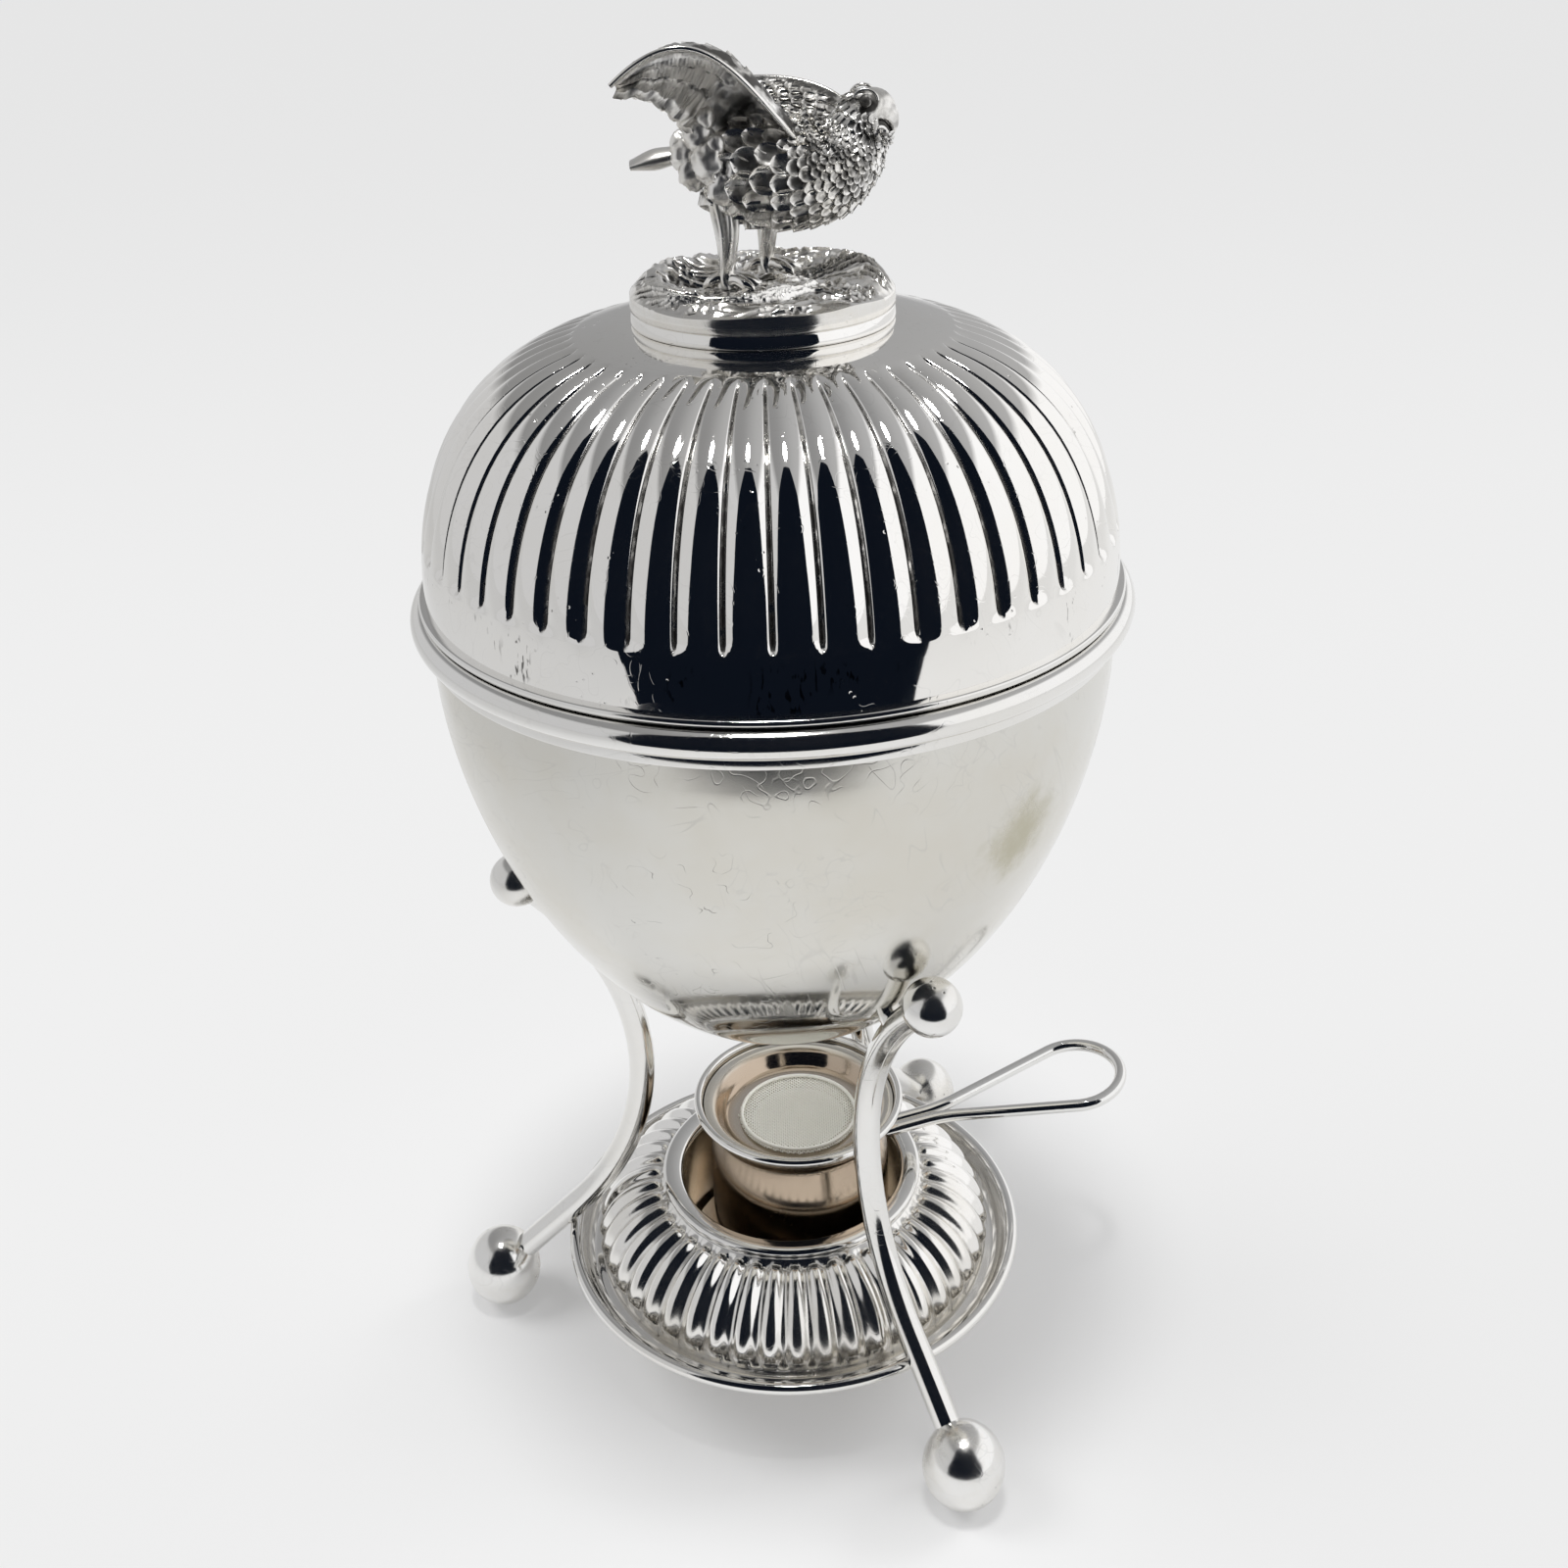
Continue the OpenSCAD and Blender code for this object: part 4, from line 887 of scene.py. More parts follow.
band_angle = math.asin((PLAIN_BAND / dome_h) ** (DOME_N / 2))
crown_angle = math.acos((CROWN_R / LID_R) ** (DOME_M / 2))
top_angle = math.asin((LID_H / dome_h) ** (DOME_N / 2))
band_r = dome_point(band_angle)[0]


def dome_rows(count):
    """Angles that crowd together where the flutes begin and end."""
    share = 0.5 - 0.5 * np.cos(np.linspace(0, math.pi, count))
    return np.concatenate([np.linspace(0, band_angle, 4, endpoint=False),
                           band_angle + (crown_angle - band_angle) * share,
                           np.linspace(crown_angle, top_angle, 6)[1:]])


def dome_profile(sink, count):
    """The dome's profile, its flutes full in the middle, thinner with its radius and none at both ends."""
    out = []
    for a in dome_rows(count):
        r, h = dome_point(a)
        long = math.hypot(r, h)
        ends = ease(h, PLAIN_BAND, PLAIN_BAND + 1.5) * ease(r, CROWN_R, CROWN_R + 3.2)
        k = 1 - sink / long
        out.append((r * k, lid_z + h * k, ends * (0.5 + 0.5 * r / band_r), 0.0, r / long, h / long))
    return out


inside = dome_profile(LID_WALL, 10)[::-1]
hole = [(STUD_HOLE, crown_z, 0.0, 0.0, 0.0, 1.0), (STUD_HOLE, inside[0][1], 0.0, 0.0, 0.0, 1.0)]
lid_plate = plate_material("lid_plate", polish=0.022, haze=0.035, scratch=0.45, sway=0.2, pits=0.35,
                           hollow=0.9, stain=0.1, specks=(lid_z * MM, (lid_z + PLAIN_BAND) * MM))
lid_mesh = run_tree(fluted_shell, fluted_profile("lid_profile", dome_profile(0.0, 32) + hole + inside), {
    "Flutes": LID_FLUTES, "Facets": LID_FACETS, "Depth": LID_FLUTE_DEEP * MM, "Turn": VALLEY_TURN,
    "Lobes": 0.0, "Finish": lid_plate})
settle("lid_shell", lid_mesh, lid_plate, "lid", ["lid_dome"])
bezel_r = BOWL_R - BOWL_WALL - BEZEL_GAP
flange = rounded([(bezel_r, FLANGE_Z), (LID_R + FLANGE_OUT, FLANGE_Z), (LID_R + FLANGE_OUT, lid_z),
                  (bezel_r, lid_z)], 0.5)
settle("lid_flange_ring", lathe(flange, BOWL_STEPS), bright_wire, "lid", ["lid_flange"])
bezel = rounded([(bezel_r - BEZEL_T, lid_z - BEZEL_DEEP), (bezel_r, lid_z - BEZEL_DEEP), (bezel_r, lid_z),
                 (bezel_r - BEZEL_T, lid_z)], 0.25)
settle("lid_bezel", lathe(bezel, BOWL_STEPS), bright_wire, "lid", ["lid_collar"])

# Finial plinth and fixing
# A turned plinth carries the cast finial; a brass stud, a washer and a nut hold it from inside the lid.
PLINTH_R = 20.7
PLINTH_H = 2.2
BRASS = (0.72, 0.55, 0.28, 1.0)
seam_z = crown_z + PLINTH_H
plinth = rounded([(STUD_HOLE, crown_z), (PLINTH_R - 0.3, crown_z), (PLINTH_R, crown_z + 0.5),
                  (PLINTH_R - 0.3, seam_z), (STUD_HOLE, seam_z)], 0.35)
settle("finial_plinth_ring", lathe(plinth, 200), lid_plate, "lid", ["finial_plinth"])
brass_fixing = plate_material("brass_fixing", polish=0.25, haze=0.15, tint=BRASS, stain=0.4)
finish_nodes(("finial_stud", "finial_washer", "finial_nut"), brass_fixing)

# Cast ground
# A round of rock cast with a plain turned edge: ledges swirl round the bird's feet and rise at the back.
# It is plated, left black in its hollows and rubbed bright on its ridges.
GROUND_EDGE = 2.6
ROCK_R = 20.5
ROCK_ROWS = 110
ROCK_COLS = 400
ROCK_CREST_TURN = (-180, -140, -90, -45, 0, 35, 70, 110, 150, 180)
ROCK_CREST_HIGH = (2.5, 1.7, 0.9, 1.2, 2.6, 3.4, 2.4, 2.3, 3.1, 2.5)
FEET = ((-5.3, -3.6, 0.7), (0.8, 4.0, 1.4))
STUD_R = 2.0
STUD_DEEP = 3.4
ground_z = seam_z + GROUND_EDGE
cast_silver = plate_material("cast_silver", polish=0.10, haze=0.10, scratch=0.2, sway=0.4, pits=0.3,
                             hollow=0.92, stain=0.25, cloud_scale=90.0, frost=0.28)


def grain(x, y, seed):
    return noise.noise(Vector((x, y, seed)))


def heap(x, y, wide, deep):
    """A round swelling, one at its middle."""
    return math.exp(-(x * x / wide + y * y / deep))


def rock_height(x, y):
    """Height of the rocks over the plain edge, in millimetres."""
    q = min(math.hypot(x, y) / ROCK_R, 1.0)
    turn = math.degrees(math.atan2(y, x))
    crest = float(np.interp(turn, ROCK_CREST_TURN, ROCK_CREST_HIGH))
    body = float(np.interp(q, (0.0, 0.45, 0.66, 0.80, 0.88, 0.95, 1.0),
                           (0.9, 0.8, 0.4 + 0.35 * crest, crest, 0.85 * crest, 0.40 * crest, 0.0)))
    swirl = 1.1 * (1 - q)
    along = x * math.cos(swirl) + y * math.sin(swirl)
    across = y * math.cos(swirl) - x * math.sin(swirl)
    steps = 2.6 * grain(along * 0.06, across * 0.16, 3.7) + 0.30 * across
    tread = math.floor(steps) + ease(steps - math.floor(steps), 0.62, 0.95)
    ledge = 1.25 * (tread - steps) + 0.35 * grain(along * 0.16, across * 0.5, 8.1)
    patch = ease(grain(x * 0.16, y * 0.16, 21.0), -0.35, 0.10)
    speckle = 0.45 * patch * grain(x * 1.05, y * 1.05, 5.0)
    pools = -1.1 * heap(x + 9.5, y - 2.0, 22.0, 13.0) - 1.5 * heap(x - 5.0, y - 5.5, 40.0, 14.0)
    mound = 0.7 * heap(x + 3.0, y + 5.0, 40.0, 14.0)
    high = body + (1 - ease(q, 0.90, 1.0)) * (ledge + speckle + pools + mound)
    for foot_x, foot_y, lift in FEET:
        high += 0.9 * heap(x - foot_x - 1.0, y - foot_y, 14.0, 14.0) * (lift - high)
    return high


def rock_edge(angle):
    """Height of the plain edge's wavy upper line."""
    return 0.95 * grain(1.7 * math.cos(angle), 1.7 * math.sin(angle), 1.3) - 0.1


def blurred(field, times):
    """Even out a field of heights on rings, round and across them."""
    for k in range(times):
        wide = np.vstack([field[:1], field, field[-1:]])
        field = (wide[:-2] + wide[2:] + np.roll(field, 1, 1) + np.roll(field, -1, 1) + 2 * field) / 6
    return field


rock_turns = turns(ROCK_COLS)
rock_shares = 0.02 + 0.98 * np.linspace(0, 1, ROCK_ROWS + 1) ** 0.8
rock_high = np.array([[rock_height(s * ROCK_R * math.cos(a), s * ROCK_R * math.sin(a)) for a in rock_turns]
                      for s in rock_shares])
small_dips, wide_dips = [blurred(rock_high, times) - rock_high for times in (5, 40)]
rock_sunk = np.clip(7.0 * small_dips + 2.6 * wide_dips, 0, 1.6)
rock_sunk *= np.array([1 - ease(s, 0.95, 0.995) for s in rock_shares])[:, None]
rock_verts = [around(s * ROCK_R, a, ground_z + high + ease(s, 0.9, 1.0) * rock_edge(a))
              for s, heights in zip(rock_shares, rock_high) for a, high in zip(rock_turns, heights)]
for r, z in ((ROCK_R, ground_z - 0.9), (ROCK_R + 0.08, ground_z - 1.3), (ROCK_R + 0.08, seam_z + 0.25),
             (ROCK_R - 0.2, seam_z), (STUD_R, seam_z), (STUD_R, seam_z + STUD_DEEP)):
    rock_verts += [around(r, a, z) for a in rock_turns]
rock_mesh = mesh_of("cast_ground", rock_verts, capped_faces(len(rock_verts) // ROCK_COLS, ROCK_COLS))
mark(rock_mesh, "hollow", list(rock_sunk.ravel()) + [0.0] * (len(rock_verts) - rock_sunk.size))
settle("cast_ground", rock_mesh, cast_silver, "lid", ["rock_base"], crease=55.0)

# Bird
# A standing bird, cast and then chased: rows of scale feathers, tufts at the rump, an eye and a hooked beak.
# Black oxide fills the feathers' centres and their edges are bright.
BIRD_Z = ground_z + 17.0
BIRD_SPINE = [(-19, 1.3, 2.6, 0.7), (-15.5, 2.0, 2.8, 1.5), (-12, 2.6, 2.4, 1.4), (-10.3, 2.9, 3.6, 2.8),
              (-7, 2.4, 5.8, 5.0), (-1.5, 0.6, 7.8, 7.0), (5, -0.3, 9.0, 7.6), (10, 0.5, 8.4, 7.4),
              (13.2, 2.6, 6.6, 6.0), (14.8, 5.0, 5.0, 4.8), (15.9, 7.1, 4.3, 4.0), (17.7, 8.1, 3.2, 3.0),
              (19.3, 7.2, 1.9, 1.8), (20.0, 5.8, 1.0, 0.9), (19.8, 4.4, 0.25, 0.25)]
BIRD_ROWS = 128
BIRD_COLS = 60
FEATHER_REACH = (-7.0, -2.0, 2.5, 6.5, 10.0, 13.0, 17.6)
FEATHER_SIZE = (4.4, 5.6, 5.0, 3.0, 2.1, 1.7, 1.3)
FEATHERS_FROM = -4.6
FEATHERS_TO = 17.4
TUFTS = [(-8.4, 4.0, 5.6, 2.3), (-10.7, 2.0, 2.8, 2.2), (-7.1, 5.6, 2.4, 2.6), (-9.7, 3.0, 0.4, 2.2),
         (-5.4, 5.8, -1.2, 2.4), (-7.4, 4.8, 8.2, 1.4), (-11.6, 1.4, 4.2, 1.4), (-3.4, 6.4, 0.9, 1.9),
         (-4.6, 4.6, -3.4, 1.9), (-6.0, 6.3, 4.6, 1.4)]
EYE = (15.8, 3.75, 9.7)
EYE_R = 0.95
GAPE = ((14.4, 3.9, 5.0), (16.6, 3.2, 6.2), (18.4, 2.1, 6.4), (19.5, 0.8, 4.8))
bird_line = smooth_curve(BIRD_SPINE, BIRD_ROWS)
bird_slope = np.gradient(bird_line[:, :2], axis=0)
bird_slope /= np.linalg.norm(bird_slope, axis=1)[:, None]


def unit(way):
    return way / np.linalg.norm(way)


def bird_point(row, a):
    """A point of the bird's skin at a place along its spine and an angle round it, in millimetres."""
    i = min(max(int(row), 0), BIRD_ROWS - 2)
    t = row - i
    x, z, wide, tall = bird_line[i] * (1 - t) + bird_line[i + 1] * t
    run, rise = bird_slope[i] * (1 - t) + bird_slope[i + 1] * t
    high = max(tall, 0.2) * math.sin(a)
    return np.array((x - high * rise, max(wide, 0.2) * math.cos(a), BIRD_Z + z + high * run))


def feather_mesh(rows=8, cols=7):
    """One tongue-shaped feather, a millimetre long, with a raised edge, a quill and a sunk, dark middle."""
    verts, sunk = [], []
    for u in np.linspace(0, 1, rows):
        tongue = math.sqrt(max(1 - max(0.0, (u - 0.5) / 0.5) ** 2, 0.03))
        half = 0.44 * (0.8 + 0.2 * min(1.0, u / 0.4)) * tongue
        for v in np.linspace(-1, 1, cols):
            edge = max(abs(v) ** 3, ease(u, 0.74, 0.98))
            verts.append((u * MM, v * half * MM, (0.02 + 0.11 * edge + 0.03 * (abs(v) < 0.01)) * MM))
            sunk.append(max(0.95 - 1.25 * edge, 0.0))
    border = list(range(cols)) + [i * cols + cols - 1 for i in range(1, rows)]
    border += [(rows - 1) * cols + k for k in range(cols - 2, -1, -1)]
    border += [i * cols for i in range(rows - 2, 0, -1)]
    base, count = len(verts), len(border)
    verts += [(verts[i][0], verts[i][1], -0.16 * MM) for i in border]
    sunk += [0.9] * count
    faces = grid_faces(rows, cols, round_cols=False)
    for k in range(count):
        n = (k + 1) % count
        faces.append([border[n], border[k], base + k, base + n])
    faces.append([base + k for k in range(count)])
    return mark(mesh_of("feather", verts, faces), "hollow", sunk)


def scatter_tree():
    """Set copies of a piece on points that carry a turn and a size, and join them to a body."""
    tree, come, go = shape_tree("scatter", [("Piece", "Object"), ("Body", "Object")])
    piece, body = [put(tree, "GeometryNodeObjectInfo", {"Object": come[name]})["Geometry"]
                   for name in ("Piece", "Body")]
    turn, size = [named(tree, "FLOAT_VECTOR", name) for name in ("turn", "size")]
    spin = put(tree, "FunctionNodeEulerToRotation", {0: turn})[0]
    copies = put(tree, "GeometryNodeInstanceOnPoints", {"Points": come["Geometry"], "Instance": piece,
                                                        "Rotation": spin, "Scale": size})[0]
    both = put(tree, "GeometryNodeJoinGeometry", {0: copies})
    body.to(both.made.inputs[0])
    finish(both[0], come, go)
    return tree


scatter = scatter_tree()
feather = feather_mesh()


def scattered(body, spots, piece, material):
    """Join copies of a piece to a body; a spot is a place, its three axes and a size, in millimetres."""
    points = mesh_of("spots", [place * MM for place, axes, size in spots], [])
    mark(points, "turn", [tuple(Matrix(axes).transposed().to_euler()) for place, axes, size in spots])
    mark(points, "size", [(size, size, size) for place, axes, size in spots])
    holders = [bpy.data.objects.new("scatter_piece", piece), bpy.data.objects.new("scatter_body", body)]
    for holder in holders:
        bpy.context.scene.collection.objects.link(holder)
    made = run_tree(scatter, points, {"Piece": holders[0], "Body": holders[1], "Finish": material})
    for holder in holders:
        bpy.data.objects.remove(holder)
    return made


def laid(place, along, outward, size, lift=10.0, sink=0.05):
    """A feather lying on a skin: along is where its tip points, and lift raises the tip in degrees."""
    out = unit(outward)
    way = unit(along - out * np.dot(along, out))
    tip = way * math.cos(math.radians(lift)) + out * math.sin(math.radians(lift))
    side = np.cross(out, way)
    return place - out * sink * size, [tuple(tip), tuple(side), tuple(np.cross(tip, side))], size


def tuft(centre, r):
    """A lump of down, uneven as cast."""
    centre = np.array(centre)
    verts, faces = ball(centre, r, 1.15 * r, rows=22, cols=30)
    out = []
    for v in verts:
        way = np.array(v) / MM - centre
        swell = 1 + 0.20 * grain(*(centre + way * 0.8)) + 0.06 * grain(*(centre + way * 2.6))
        out.append((centre + way * swell) * MM)
    return out, faces


def off_the_eye(p):
    return math.hypot(p[0] - EYE[0], p[2] - BIRD_Z - EYE[2])


bird_verts, bird_sunk, bird_frost = [], [], []
for r in range(BIRD_ROWS):
    here = bird_line[r][0]
    beak = ease(here, 16.6, 17.6)
    dark = 0.85 * ease(here, -5.0, -2.5) * (1 - 0.7 * beak)
    for a in turns(BIRD_COLS):
        p = bird_point(r, a)
        bird_verts.append(p * MM)
        lid_of_eye = 3.0 * (1 - ease(off_the_eye(p), 1.3, 2.3)) * ease(abs(p[1]), 1.6, 2.6)
        chased = 0.6 * beak * ease(grain(p[0] * 0.9, p[1] * 0.9, p[2] * 0.9), 0.0, 0.25)
        bird_sunk.append(max(dark, lid_of_eye, chased))
        bird_frost.append(0.5 * (1 - ease(here, -11.0, -8.0)))
bird_parts = [(bird_verts, capped_faces(BIRD_ROWS, BIRD_COLS))]


def add_to_bird(part, sunk, frost):
    bird_parts.append(part)
    bird_sunk.extend([sunk] * len(part[0]))
    bird_frost.extend([frost] * len(part[0]))


for side in (-1, 1):
    for x, y, z, r in TUFTS:
        add_to_bird(tuft((x, side * y, BIRD_Z + z), r), 0.0, 0.85)
    eye_at = np.array((EYE[0], side * EYE[1], BIRD_Z + EYE[2]))
    add_to_bird(ball(eye_at, EYE_R, EYE_R, rows=14, cols=20), 3.0, 0.0)
    brow = [eye_at + np.array((1.8 * math.cos(a), -0.5 * side * math.sin(a), 1.5 * math.sin(a)))
            for a in np.linspace(0.0, math.pi * 0.9, 20)]
    add_to_bird(sweep(brow, 0.24, 8), 0.0, 0.3)
    gape = smooth_curve([(x, side * y, BIRD_Z + z) for x, y, z in GAPE], 16)
    add_to_bird(sweep(gape, 0.30, 8), 3.0, 0.0)
    add_to_bird(sweep(gape + (0, 0.1 * side, -0.55), 0.34, 8), 0.0, 0.2)
bird_body = mark(mark(mesh_of("bird_body", *joined(bird_parts)), "hollow", bird_sunk), "frost", bird_frost)
bird_spots = []
row, odd = BIRD_ROWS - 1.0, 0
while row > 1:
    x = float(np.interp(row, np.arange(BIRD_ROWS), bird_line[:, 0]))
    size = float(np.interp(x, FEATHER_REACH, FEATHER_SIZE))
    if FEATHERS_FROM < x < FEATHERS_TO:
        wide, tall = bird_line[int(row)][2:]
        count = int(math.pi * (wide + tall) / (0.70 * size))
        for k in range(count):
            a = 2 * math.pi * (k + 0.5 * odd + 0.25 * grain(row * 0.7, k * 1.7, 4.0)) / count
            at = min(max(row + 1.2 * grain(row * 0.9, k * 2.3, 9.0), 1.0), BIRD_ROWS - 2.0)
            here = bird_point(at, a)
            if off_the_eye(here) < 1.9 and abs(here[1]) > 2.4:
                continue
            ahead = bird_point(at + 0.6, a) - bird_point(at - 0.6, a)
            about = bird_point(at, a + 0.05) - bird_point(at, a - 0.05)
            upper = ease(math.sin(a), 0.25, 0.7) * (1 - ease(x, 9.0, 12.0))
            fit = size * (1 - 0.3 * upper) * (1 + 0.18 * grain(row * 1.3, k * 3.1, 6.0))
            bird_spots.append(laid(here, -ahead, np.cross(about, ahead), fit))
        odd = 1 - odd
    pace = float(np.linalg.norm(bird_point(row, 0.0) - bird_point(row - 1, 0.0))) + 1e-6
    row -= max(0.56 * size / pace, 0.8)
bird_mesh = scattered(bird_body, bird_spots, feather, cast_silver)
settle("bird_figure", bird_mesh, cast_silver, "lid", ["bird"], crease=50.0)

# Wings
# Two raised wings cast hollow and soldered to the body: quills show inside them and scale feathers outside.
# A thin bright edge leads each wing from the shoulder to the tip.
WING_ROWS = 120
WING_COLS = 48
WING_T = 1.2
WING_BANDS = 5
RIGHT_FRONT = [(7.2, -5.1, 3.3), (-1.2, -10.2, 11.9), (-7.0, -12.0, 25.4), (-20.4, -10.9, 13.6)]
RIGHT_BACK = [(-7.4, -4.6, 2.1), (-8.4, -5.1, 3.7), (-12.2, -6.8, 13.6), (-20.0, -11.0, 12.3)]
RIGHT_BOW = [(3.0, 5.4, 2.2), (2.8, 5.8, 2.4), (0.6, 2.0, 0.6)]
LEFT_FRONT = [(14.5, 4.5, 7.0), (11.0, 8.0, 12.5), (-2.0, 11.0, 13.5), (-14.0, 13.0, 9.0)]
LEFT_BACK = [(-6.0, 5.0, 1.3), (-6.0, 9.0, 4.0), (-9.0, 11.5, 5.0), (-13.6, 12.9, 7.4)]
LEFT_BOW = [(1.2, -3.2, 1.0), (1.0, -2.8, 1.0), (0.3, -1.2, 0.3)]
BIRD_OFF = np.array((0.0, 0.0, BIRD_Z))


def guide(points, t):
    a, b, c, d = [np.array(p, float) for p in points]
    return (1 - t) ** 3 * a + 3 * (1 - t) ** 2 * t * b + 3 * (1 - t) * t * t * c + t ** 3 * d


def wing_point(front, back, bow, u, v):
    """The middle of the wing's sheet, in millimetres from the middle of the bird."""
    a, b = guide(front, u), guide(back, u)
    reach = b - a
    tips = 0.5 * abs(math.sin(8 * math.pi * u)) * ease(v, 0.55, 1.0) * ease(u, 0.3, 0.5)
    push = np.array([np.interp(u, (0.0, 0.5, 1.0), [p[k] for p in bow]) for k in range(3)])
    flat = a + reach * v + reach / max(np.linalg.norm(reach), 1e-3) * tips
    return flat + push * math.sin(math.pi * v) ** 0.6


def wing_mesh(name, front, back, bow, inward):
    """A closed wing: its inside carries quills in bands and its outside takes the feathers."""
    rows, cols = np.linspace(0, 1, WING_ROWS), np.linspace(0, 1, WING_COLS)
    middle = np.array([[wing_point(front, back, bow, u, v) for v in cols] for u in rows])
    along = np.gradient(middle, axis=0)
    across = np.gradient(middle, axis=1)
    out = np.cross(along, across)
    out /= np.linalg.norm(out, axis=2)[:, :, None] + 1e-9
    out *= np.sign(out[WING_ROWS // 2, WING_COLS // 2, 1] * inward)
    middle += BIRD_OFF
    verts, sunk, frost = [], [], []
    for i, u in enumerate(rows):
        inner, outer, marks = [], [], []
        for k, v in enumerate(cols):
            half = 0.5 * WING_T * (1 - 0.5 * u) * (0.5 + 0.5 * ease(v, 0.0, 0.12))
            place = v * WING_BANDS + 0.10 * abs(math.sin(11 * math.pi * u))
            part = place - math.floor(place)
            strong = ease(u, 0.38, 0.55) * ease(v, 0.06, 0.14)
            rib = 0.07 * math.sin(2 * math.pi * u * 46 + 1.2 * math.floor(place)) * ease(part, 0.1, 0.3)
            lump = (0.8 * grain(u * 11.0, v * 4.0, 2.0) + 0.35 * grain(u * 24.0, v * 9.0, 6.0)) * (1 - strong)
            quill = strong * (1.2 * part - 0.6 + rib) * (1 - 0.4 * u) + lump * ease(v, 0.05, 0.2)
            rough = 0.35 * grain(u * 30.0, v * 10.0, 3.0) * ease(v, 0.02, 0.1)
            inner.append((middle[i, k] + out[i, k] * (half + quill)) * MM)
            outer.append((middle[i, k] - out[i, k] * (half + rough)) * MM)
            # Painted shade on the inside: dark near the root, where the wing stands off the body, in the dips
            # of its lumps and in a band behind its front edge.
            painted_root_shade = (1 - ease(u, 0.26, 0.42)) * ease(v, 0.30, 0.5) * (1 - ease(v, 0.8, 0.98))
            shade = 0.5 * ease(-lump, 0.0, 0.3) + 0.35 * ease(v, 0.08, 0.2) * (1 - ease(v, 0.3, 0.5))
            step = strong * (1 - ease(part, 0.06, 0.24) + 0.30 * ease(-rib, 0.01, 0.05))
            marks.append(min(max(1.1 * painted_root_shade, step, shade), 1.0))
        verts += inner + outer[::-1]
        sunk += marks + [1.2] * WING_COLS
        frost += [0.7] * WING_COLS + [0.0] * WING_COLS
    edge_line = [BIRD_OFF + guide(front, t) for t in np.linspace(0.02, 1.0, 60)]
    edge = sweep(edge_line, np.linspace(0.46, 0.36, len(edge_line)), 14)
    body = mesh_of(name, *joined([(verts, capped_faces(WING_ROWS, 2 * WING_COLS)), edge]))
    mark(body, "hollow", sunk + [0.0] * len(edge[0]))
    mark(body, "frost", frost + [0.15] * len(edge[0]))
    spots = []
    for r, u in enumerate(np.linspace(0.05, 0.95, 18)):
        for v in np.linspace(0.16, 0.92, 8) + 0.04 * (r % 2):
            i, k = int(u * (WING_ROWS - 1)), min(int(v * (WING_COLS - 1)), WING_COLS - 1)
            chord = np.linalg.norm(middle[i, -1] - middle[i, 0])
            size = (1.6 + 0.9 * v * (1 - 0.4 * u)) * min(chord / 9.0, 1.0)
            skin = middle[i, k] - out[i, k] * 0.5 * WING_T * (1 - 0.5 * u)
            way = 0.75 * unit(along[i, k]) + unit(across[i, k])
            spots.append(laid(skin, way, -out[i, k], size, lift=8.0))
    return scattered(body, spots, feather, cast_silver)


for name, lines, inward, node in (("wing_near", (RIGHT_FRONT, RIGHT_BACK, RIGHT_BOW), -1, "wing_right"),
                                  ("wing_far", (LEFT_FRONT, LEFT_BACK, LEFT_BOW), 1, "wing_left")):
    settle(name, wing_mesh(name, *lines, inward), cast_silver, "lid", [node], crease=50.0)

# Bird's legs
# Feathered at the thigh and bare below, with three toes ahead and one behind, soldered to the rock.
LEGS = [("leg_near", FEET[0], "bird_leg_right"), ("leg_far", FEET[1], "bird_leg_left")]
TOES = ((-35, 5.0), (0, 5.4), (35, 5.0), (180, 3.6))
SHANK_SIDES = 40
SHANK_RIDGES = 7
leg_silver = plate_material("leg_silver", polish=0.08, haze=0.10, scratch=0.2, sway=0.6, stain=0.3,
                            hollow=0.9, cloud_scale=120.0, frost=0.25)
for name, (x, y, lift), node in LEGS:
    low = ground_z + lift
    line = smooth_curve([(x - 0.1, y, BIRD_Z - 1.6, 2.4), (x, y, BIRD_Z - 3.6, 2.15),
                         (x + 0.3, y, low + 8.0, 1.7), (x + 0.2, y, low + 4.5, 1.35), (x, y, low + 2.4, 1.2),
                         (x, y, low + 1.2, 1.4), (x, y, low + 0.1, 1.6)], 44)
    shank_verts, shank_faces = sweep(line[:, :3], line[:, 3], SHANK_SIDES)
    shank, shank_sunk, shank_frost = [], [], []
    for i, p in enumerate(shank_verts):
        row, col = divmod(i, SHANK_SIDES)
        centre = line[row][:3] * MM
        down = ease(line[row][3], 1.0, 2.0)
        ridge = math.cos(SHANK_RIDGES * 2 * math.pi * col / SHANK_SIDES + 0.25 * row * down)
        shank.append(centre + (np.array(p) - centre) * (1 + 0.13 * ridge * down))
        shank_sunk.append(0.8 * down * ease(-ridge, 0.2, 0.9))
        shank_frost.append(down)
    parts = [(shank, shank_faces)]
    for turn, reach in TOES:
        a = math.radians(turn)
        toe = smooth_curve([(0.2, 0.9, 1.1), (0.35 * reach, 1.4, 0.95), (0.7 * reach, 0.85, 0.9),
                            (0.9 * reach, 0.45, 0.55), (reach, -0.1, 0.2)], 22)
        toe_path = [(x + d * math.cos(a), y + d * math.sin(a), low + h) for d, h, r in toe]
        parts.append(sweep(toe_path, toe[:, 2], 14))
    leg_mesh = mesh_of(name, *joined(parts))
    plain = [0.0] * (len(leg_mesh.vertices) - len(shank))
    mark(mark(leg_mesh, "hollow", shank_sunk + plain), "frost", shank_frost + plain)
    settle(name, leg_mesh, leg_silver, "lid", [node], crease=60.0)

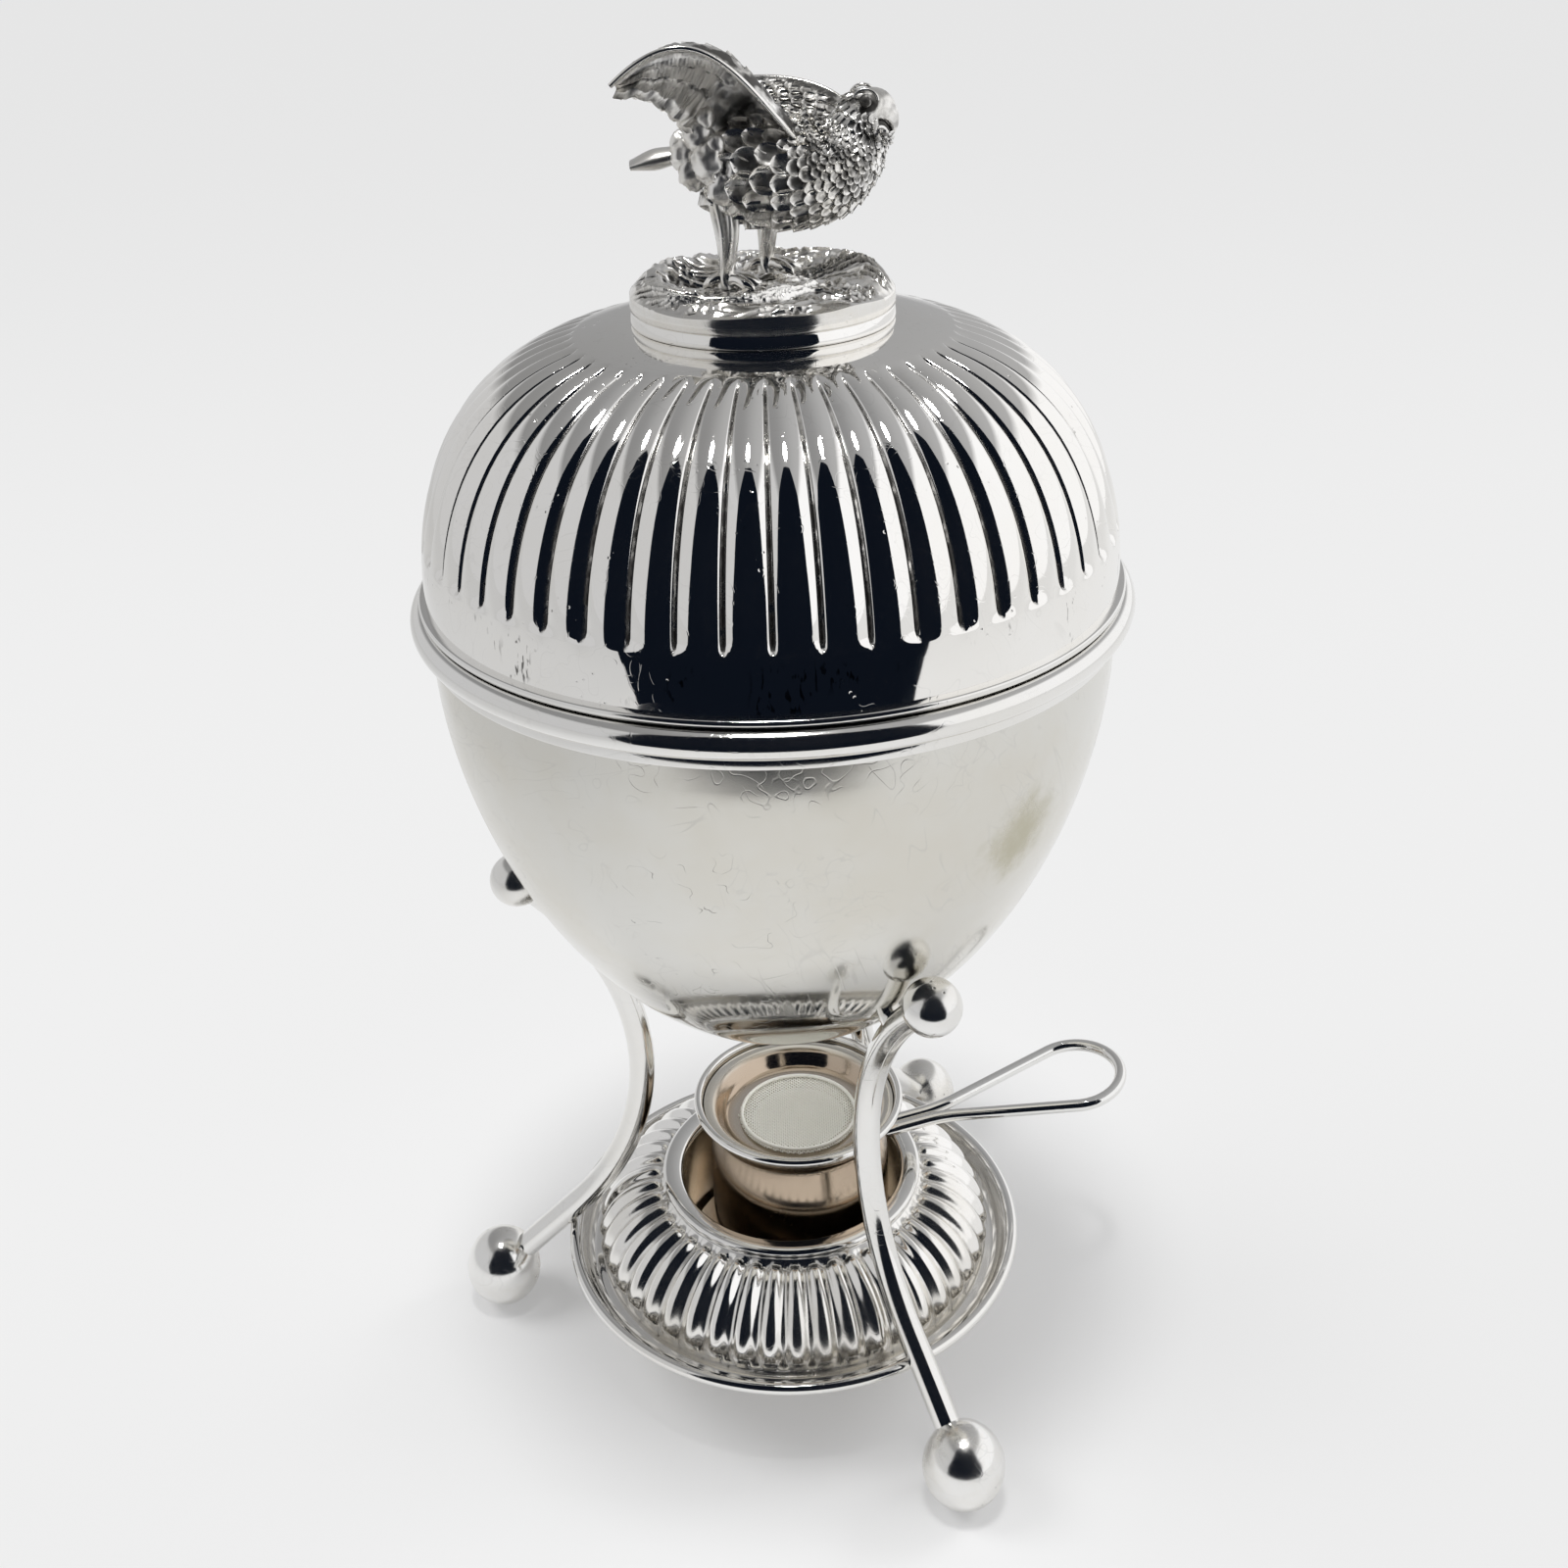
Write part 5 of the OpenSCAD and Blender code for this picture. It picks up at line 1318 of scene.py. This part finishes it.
# Floor, light and camera
# A white table top that runs out to the horizon, a pale room and a dark card behind the camera.
# The room is white low down and at its sides, and grey overhead.
FLOOR = 6.0
FLOOR_GREY = (0.75, 0.75, 0.75, 1.0)
SHOWN_WHITE = (0.86, 0.86, 0.86, 1.0)
CARD_LINE = [(0.27, -0.315, 0.0015), (0.42, -0.40, 0.16), (0.43, -0.43, 0.40), (0.30, -0.26, 0.66),
             (0.11, -0.18, 0.78)]
CARD_DARK = (0.004, 0.006, 0.011, 1.0)
ROOM_STOPS = ((0.0, 0.93), (0.14, 0.93), (0.30, 0.42), (0.8, 0.40), (1.0, 0.40))
ROOM_AHEAD = 0.35
ROOM_ASIDE = -0.80
LAMPS = (("overhead", (-0.02, -0.10, 1.15), (0, 0, 0.1), 0.20, 4.5, True),
         ("left", (-0.7, 0.1, 0.8), (0, 0, 0.1), 0.5, 4.0, False),
         ("right", (0.9, 0.35, 0.7), (0, 0, 0.15), 0.4, 3.0, False))
scene = bpy.context.scene
scene.view_settings.view_transform = "Standard"


def stage_piece(name, verts, faces, material):
    made = bpy.data.objects.new(name, mesh_of(name, verts, faces))
    made.data.materials.append(material)
    scene.collection.objects.link(made)
    return made


floor_white, tree, shader, place = new_material("floor_white")
shader.inputs["Base Color"].default_value = FLOOR_GREY
shader.inputs["Roughness"].default_value = 0.9
seen = put(tree, "ShaderNodeLightPath")
glossy = seen["Is Glossy Ray"]
showing = seen["Is Camera Ray"].math("MAXIMUM", glossy.math("MAXIMUM", seen["Is Transmission Ray"]))
dimmed = place.axis("X").ramp(-0.40, 0.0, 0.30, 0.0) * glossy * -1.0 + 1.0
white = put(tree, "ShaderNodeEmission", {"Color": SHOWN_WHITE, "Strength": dimmed})[0]
plain = place.vector("LENGTH", {}, "Value").ramp(0.05, 0.15, 0.25, 0.85)
blend = put(tree, "ShaderNodeMixShader", {0: showing * plain, 1: Value(shader.outputs[0]), 2: white})[0]
blend.to(tree.nodes["Material Output"].inputs["Surface"])
stage_piece("floor", [(-FLOOR, -FLOOR, 0), (FLOOR, -FLOOR, 0), (FLOOR, FLOOR, 0), (-FLOOR, FLOOR, 0)],
            [(0, 1, 2, 3)], floor_white)

card_dark = bpy.data.materials.new("card_dark")
card_dark.use_nodes = True
tree = card_dark.node_tree
tree.nodes.remove(tree.nodes["Principled BSDF"])
put(tree, "ShaderNodeEmission", {"Color": CARD_DARK})[0].to(tree.nodes["Material Output"].inputs["Surface"])
dark_card = stage_piece("dark_card", [(side * x, y, z) for x, y, z in CARD_LINE for side in (-1, 1)],
                        grid_faces(len(CARD_LINE), 2, round_cols=False), card_dark)
dark_card.visible_camera = False
dark_card.visible_shadow = False
dark_card.visible_diffuse = False

world = bpy.data.worlds.new("studio")
scene.world = world
world.use_nodes = True
tree = world.node_tree
toward = put(tree, "ShaderNodeTexCoord")["Generated"]
level = toward.axis("Y") * ROOM_AHEAD + toward.axis("Z") + toward.axis("X").math("ABSOLUTE") * ROOM_ASIDE
room = put(tree, "ShaderNodeValToRGB", {"Fac": level})
stops = room.made.color_ramp.elements
for spot, shade in ROOM_STOPS:
    if spot in (0.0, 1.0):
        stop = stops[0 if spot == 0.0 else -1]
    else:
        stop = stops.new(spot)
    stop.color = (shade, shade, shade * 1.01, 1.0)
shown = put(tree, "ShaderNodeLightPath")["Is Camera Ray"]
mix_colour(shown, room[0], SHOWN_WHITE).to(tree.nodes["Background"].inputs["Color"])
side_light = toward.axis("X").ramp(-0.7, 0.7, 0.66, 1.10)
side_light.math("MAXIMUM", shown).to(tree.nodes["Background"].inputs["Strength"])

for name, place, aim, size, power, mirrored in LAMPS:
    lamp = bpy.data.lights.new(name, "AREA")
    lamp.shape = "DISK"
    lamp.size = size
    lamp.energy = power
    made = bpy.data.objects.new(name, lamp)
    facing = (Vector(aim) - Vector(place)).to_track_quat("-Z", "Y").to_matrix().to_4x4()
    made.matrix_world = Matrix.Translation(place) @ facing
    made.visible_glossy = mirrored
    scene.collection.objects.link(made)

CAMERA_AT = (0.0, -0.26721, 0.270)
PITCH = math.radians(28.81)
YAW = math.radians(0.2)
ROLL = math.radians(-1.8)
FOCAL_PIXELS = 1738.5
FRAME_PIXELS = 1600
SENSOR = 36.0
forward = Vector((math.sin(YAW) * math.cos(PITCH), math.cos(YAW) * math.cos(PITCH), -math.sin(PITCH)))
right = Vector((math.cos(YAW), -math.sin(YAW), 0.0))
upward = right.cross(forward)
rolled = right * math.cos(ROLL) + upward * math.sin(ROLL)
above = upward * math.cos(ROLL) - right * math.sin(ROLL)
lens = bpy.data.cameras.new("camera")
lens.sensor_width = SENSOR
lens.lens = SENSOR * FOCAL_PIXELS / FRAME_PIXELS
lens.clip_start = 0.01
camera = bpy.data.objects.new("camera", lens)
camera.matrix_world = Matrix((rolled, above, -forward)).transposed().to_4x4()
camera.matrix_world.translation = CAMERA_AT
scene.collection.objects.link(camera)
scene.camera = camera
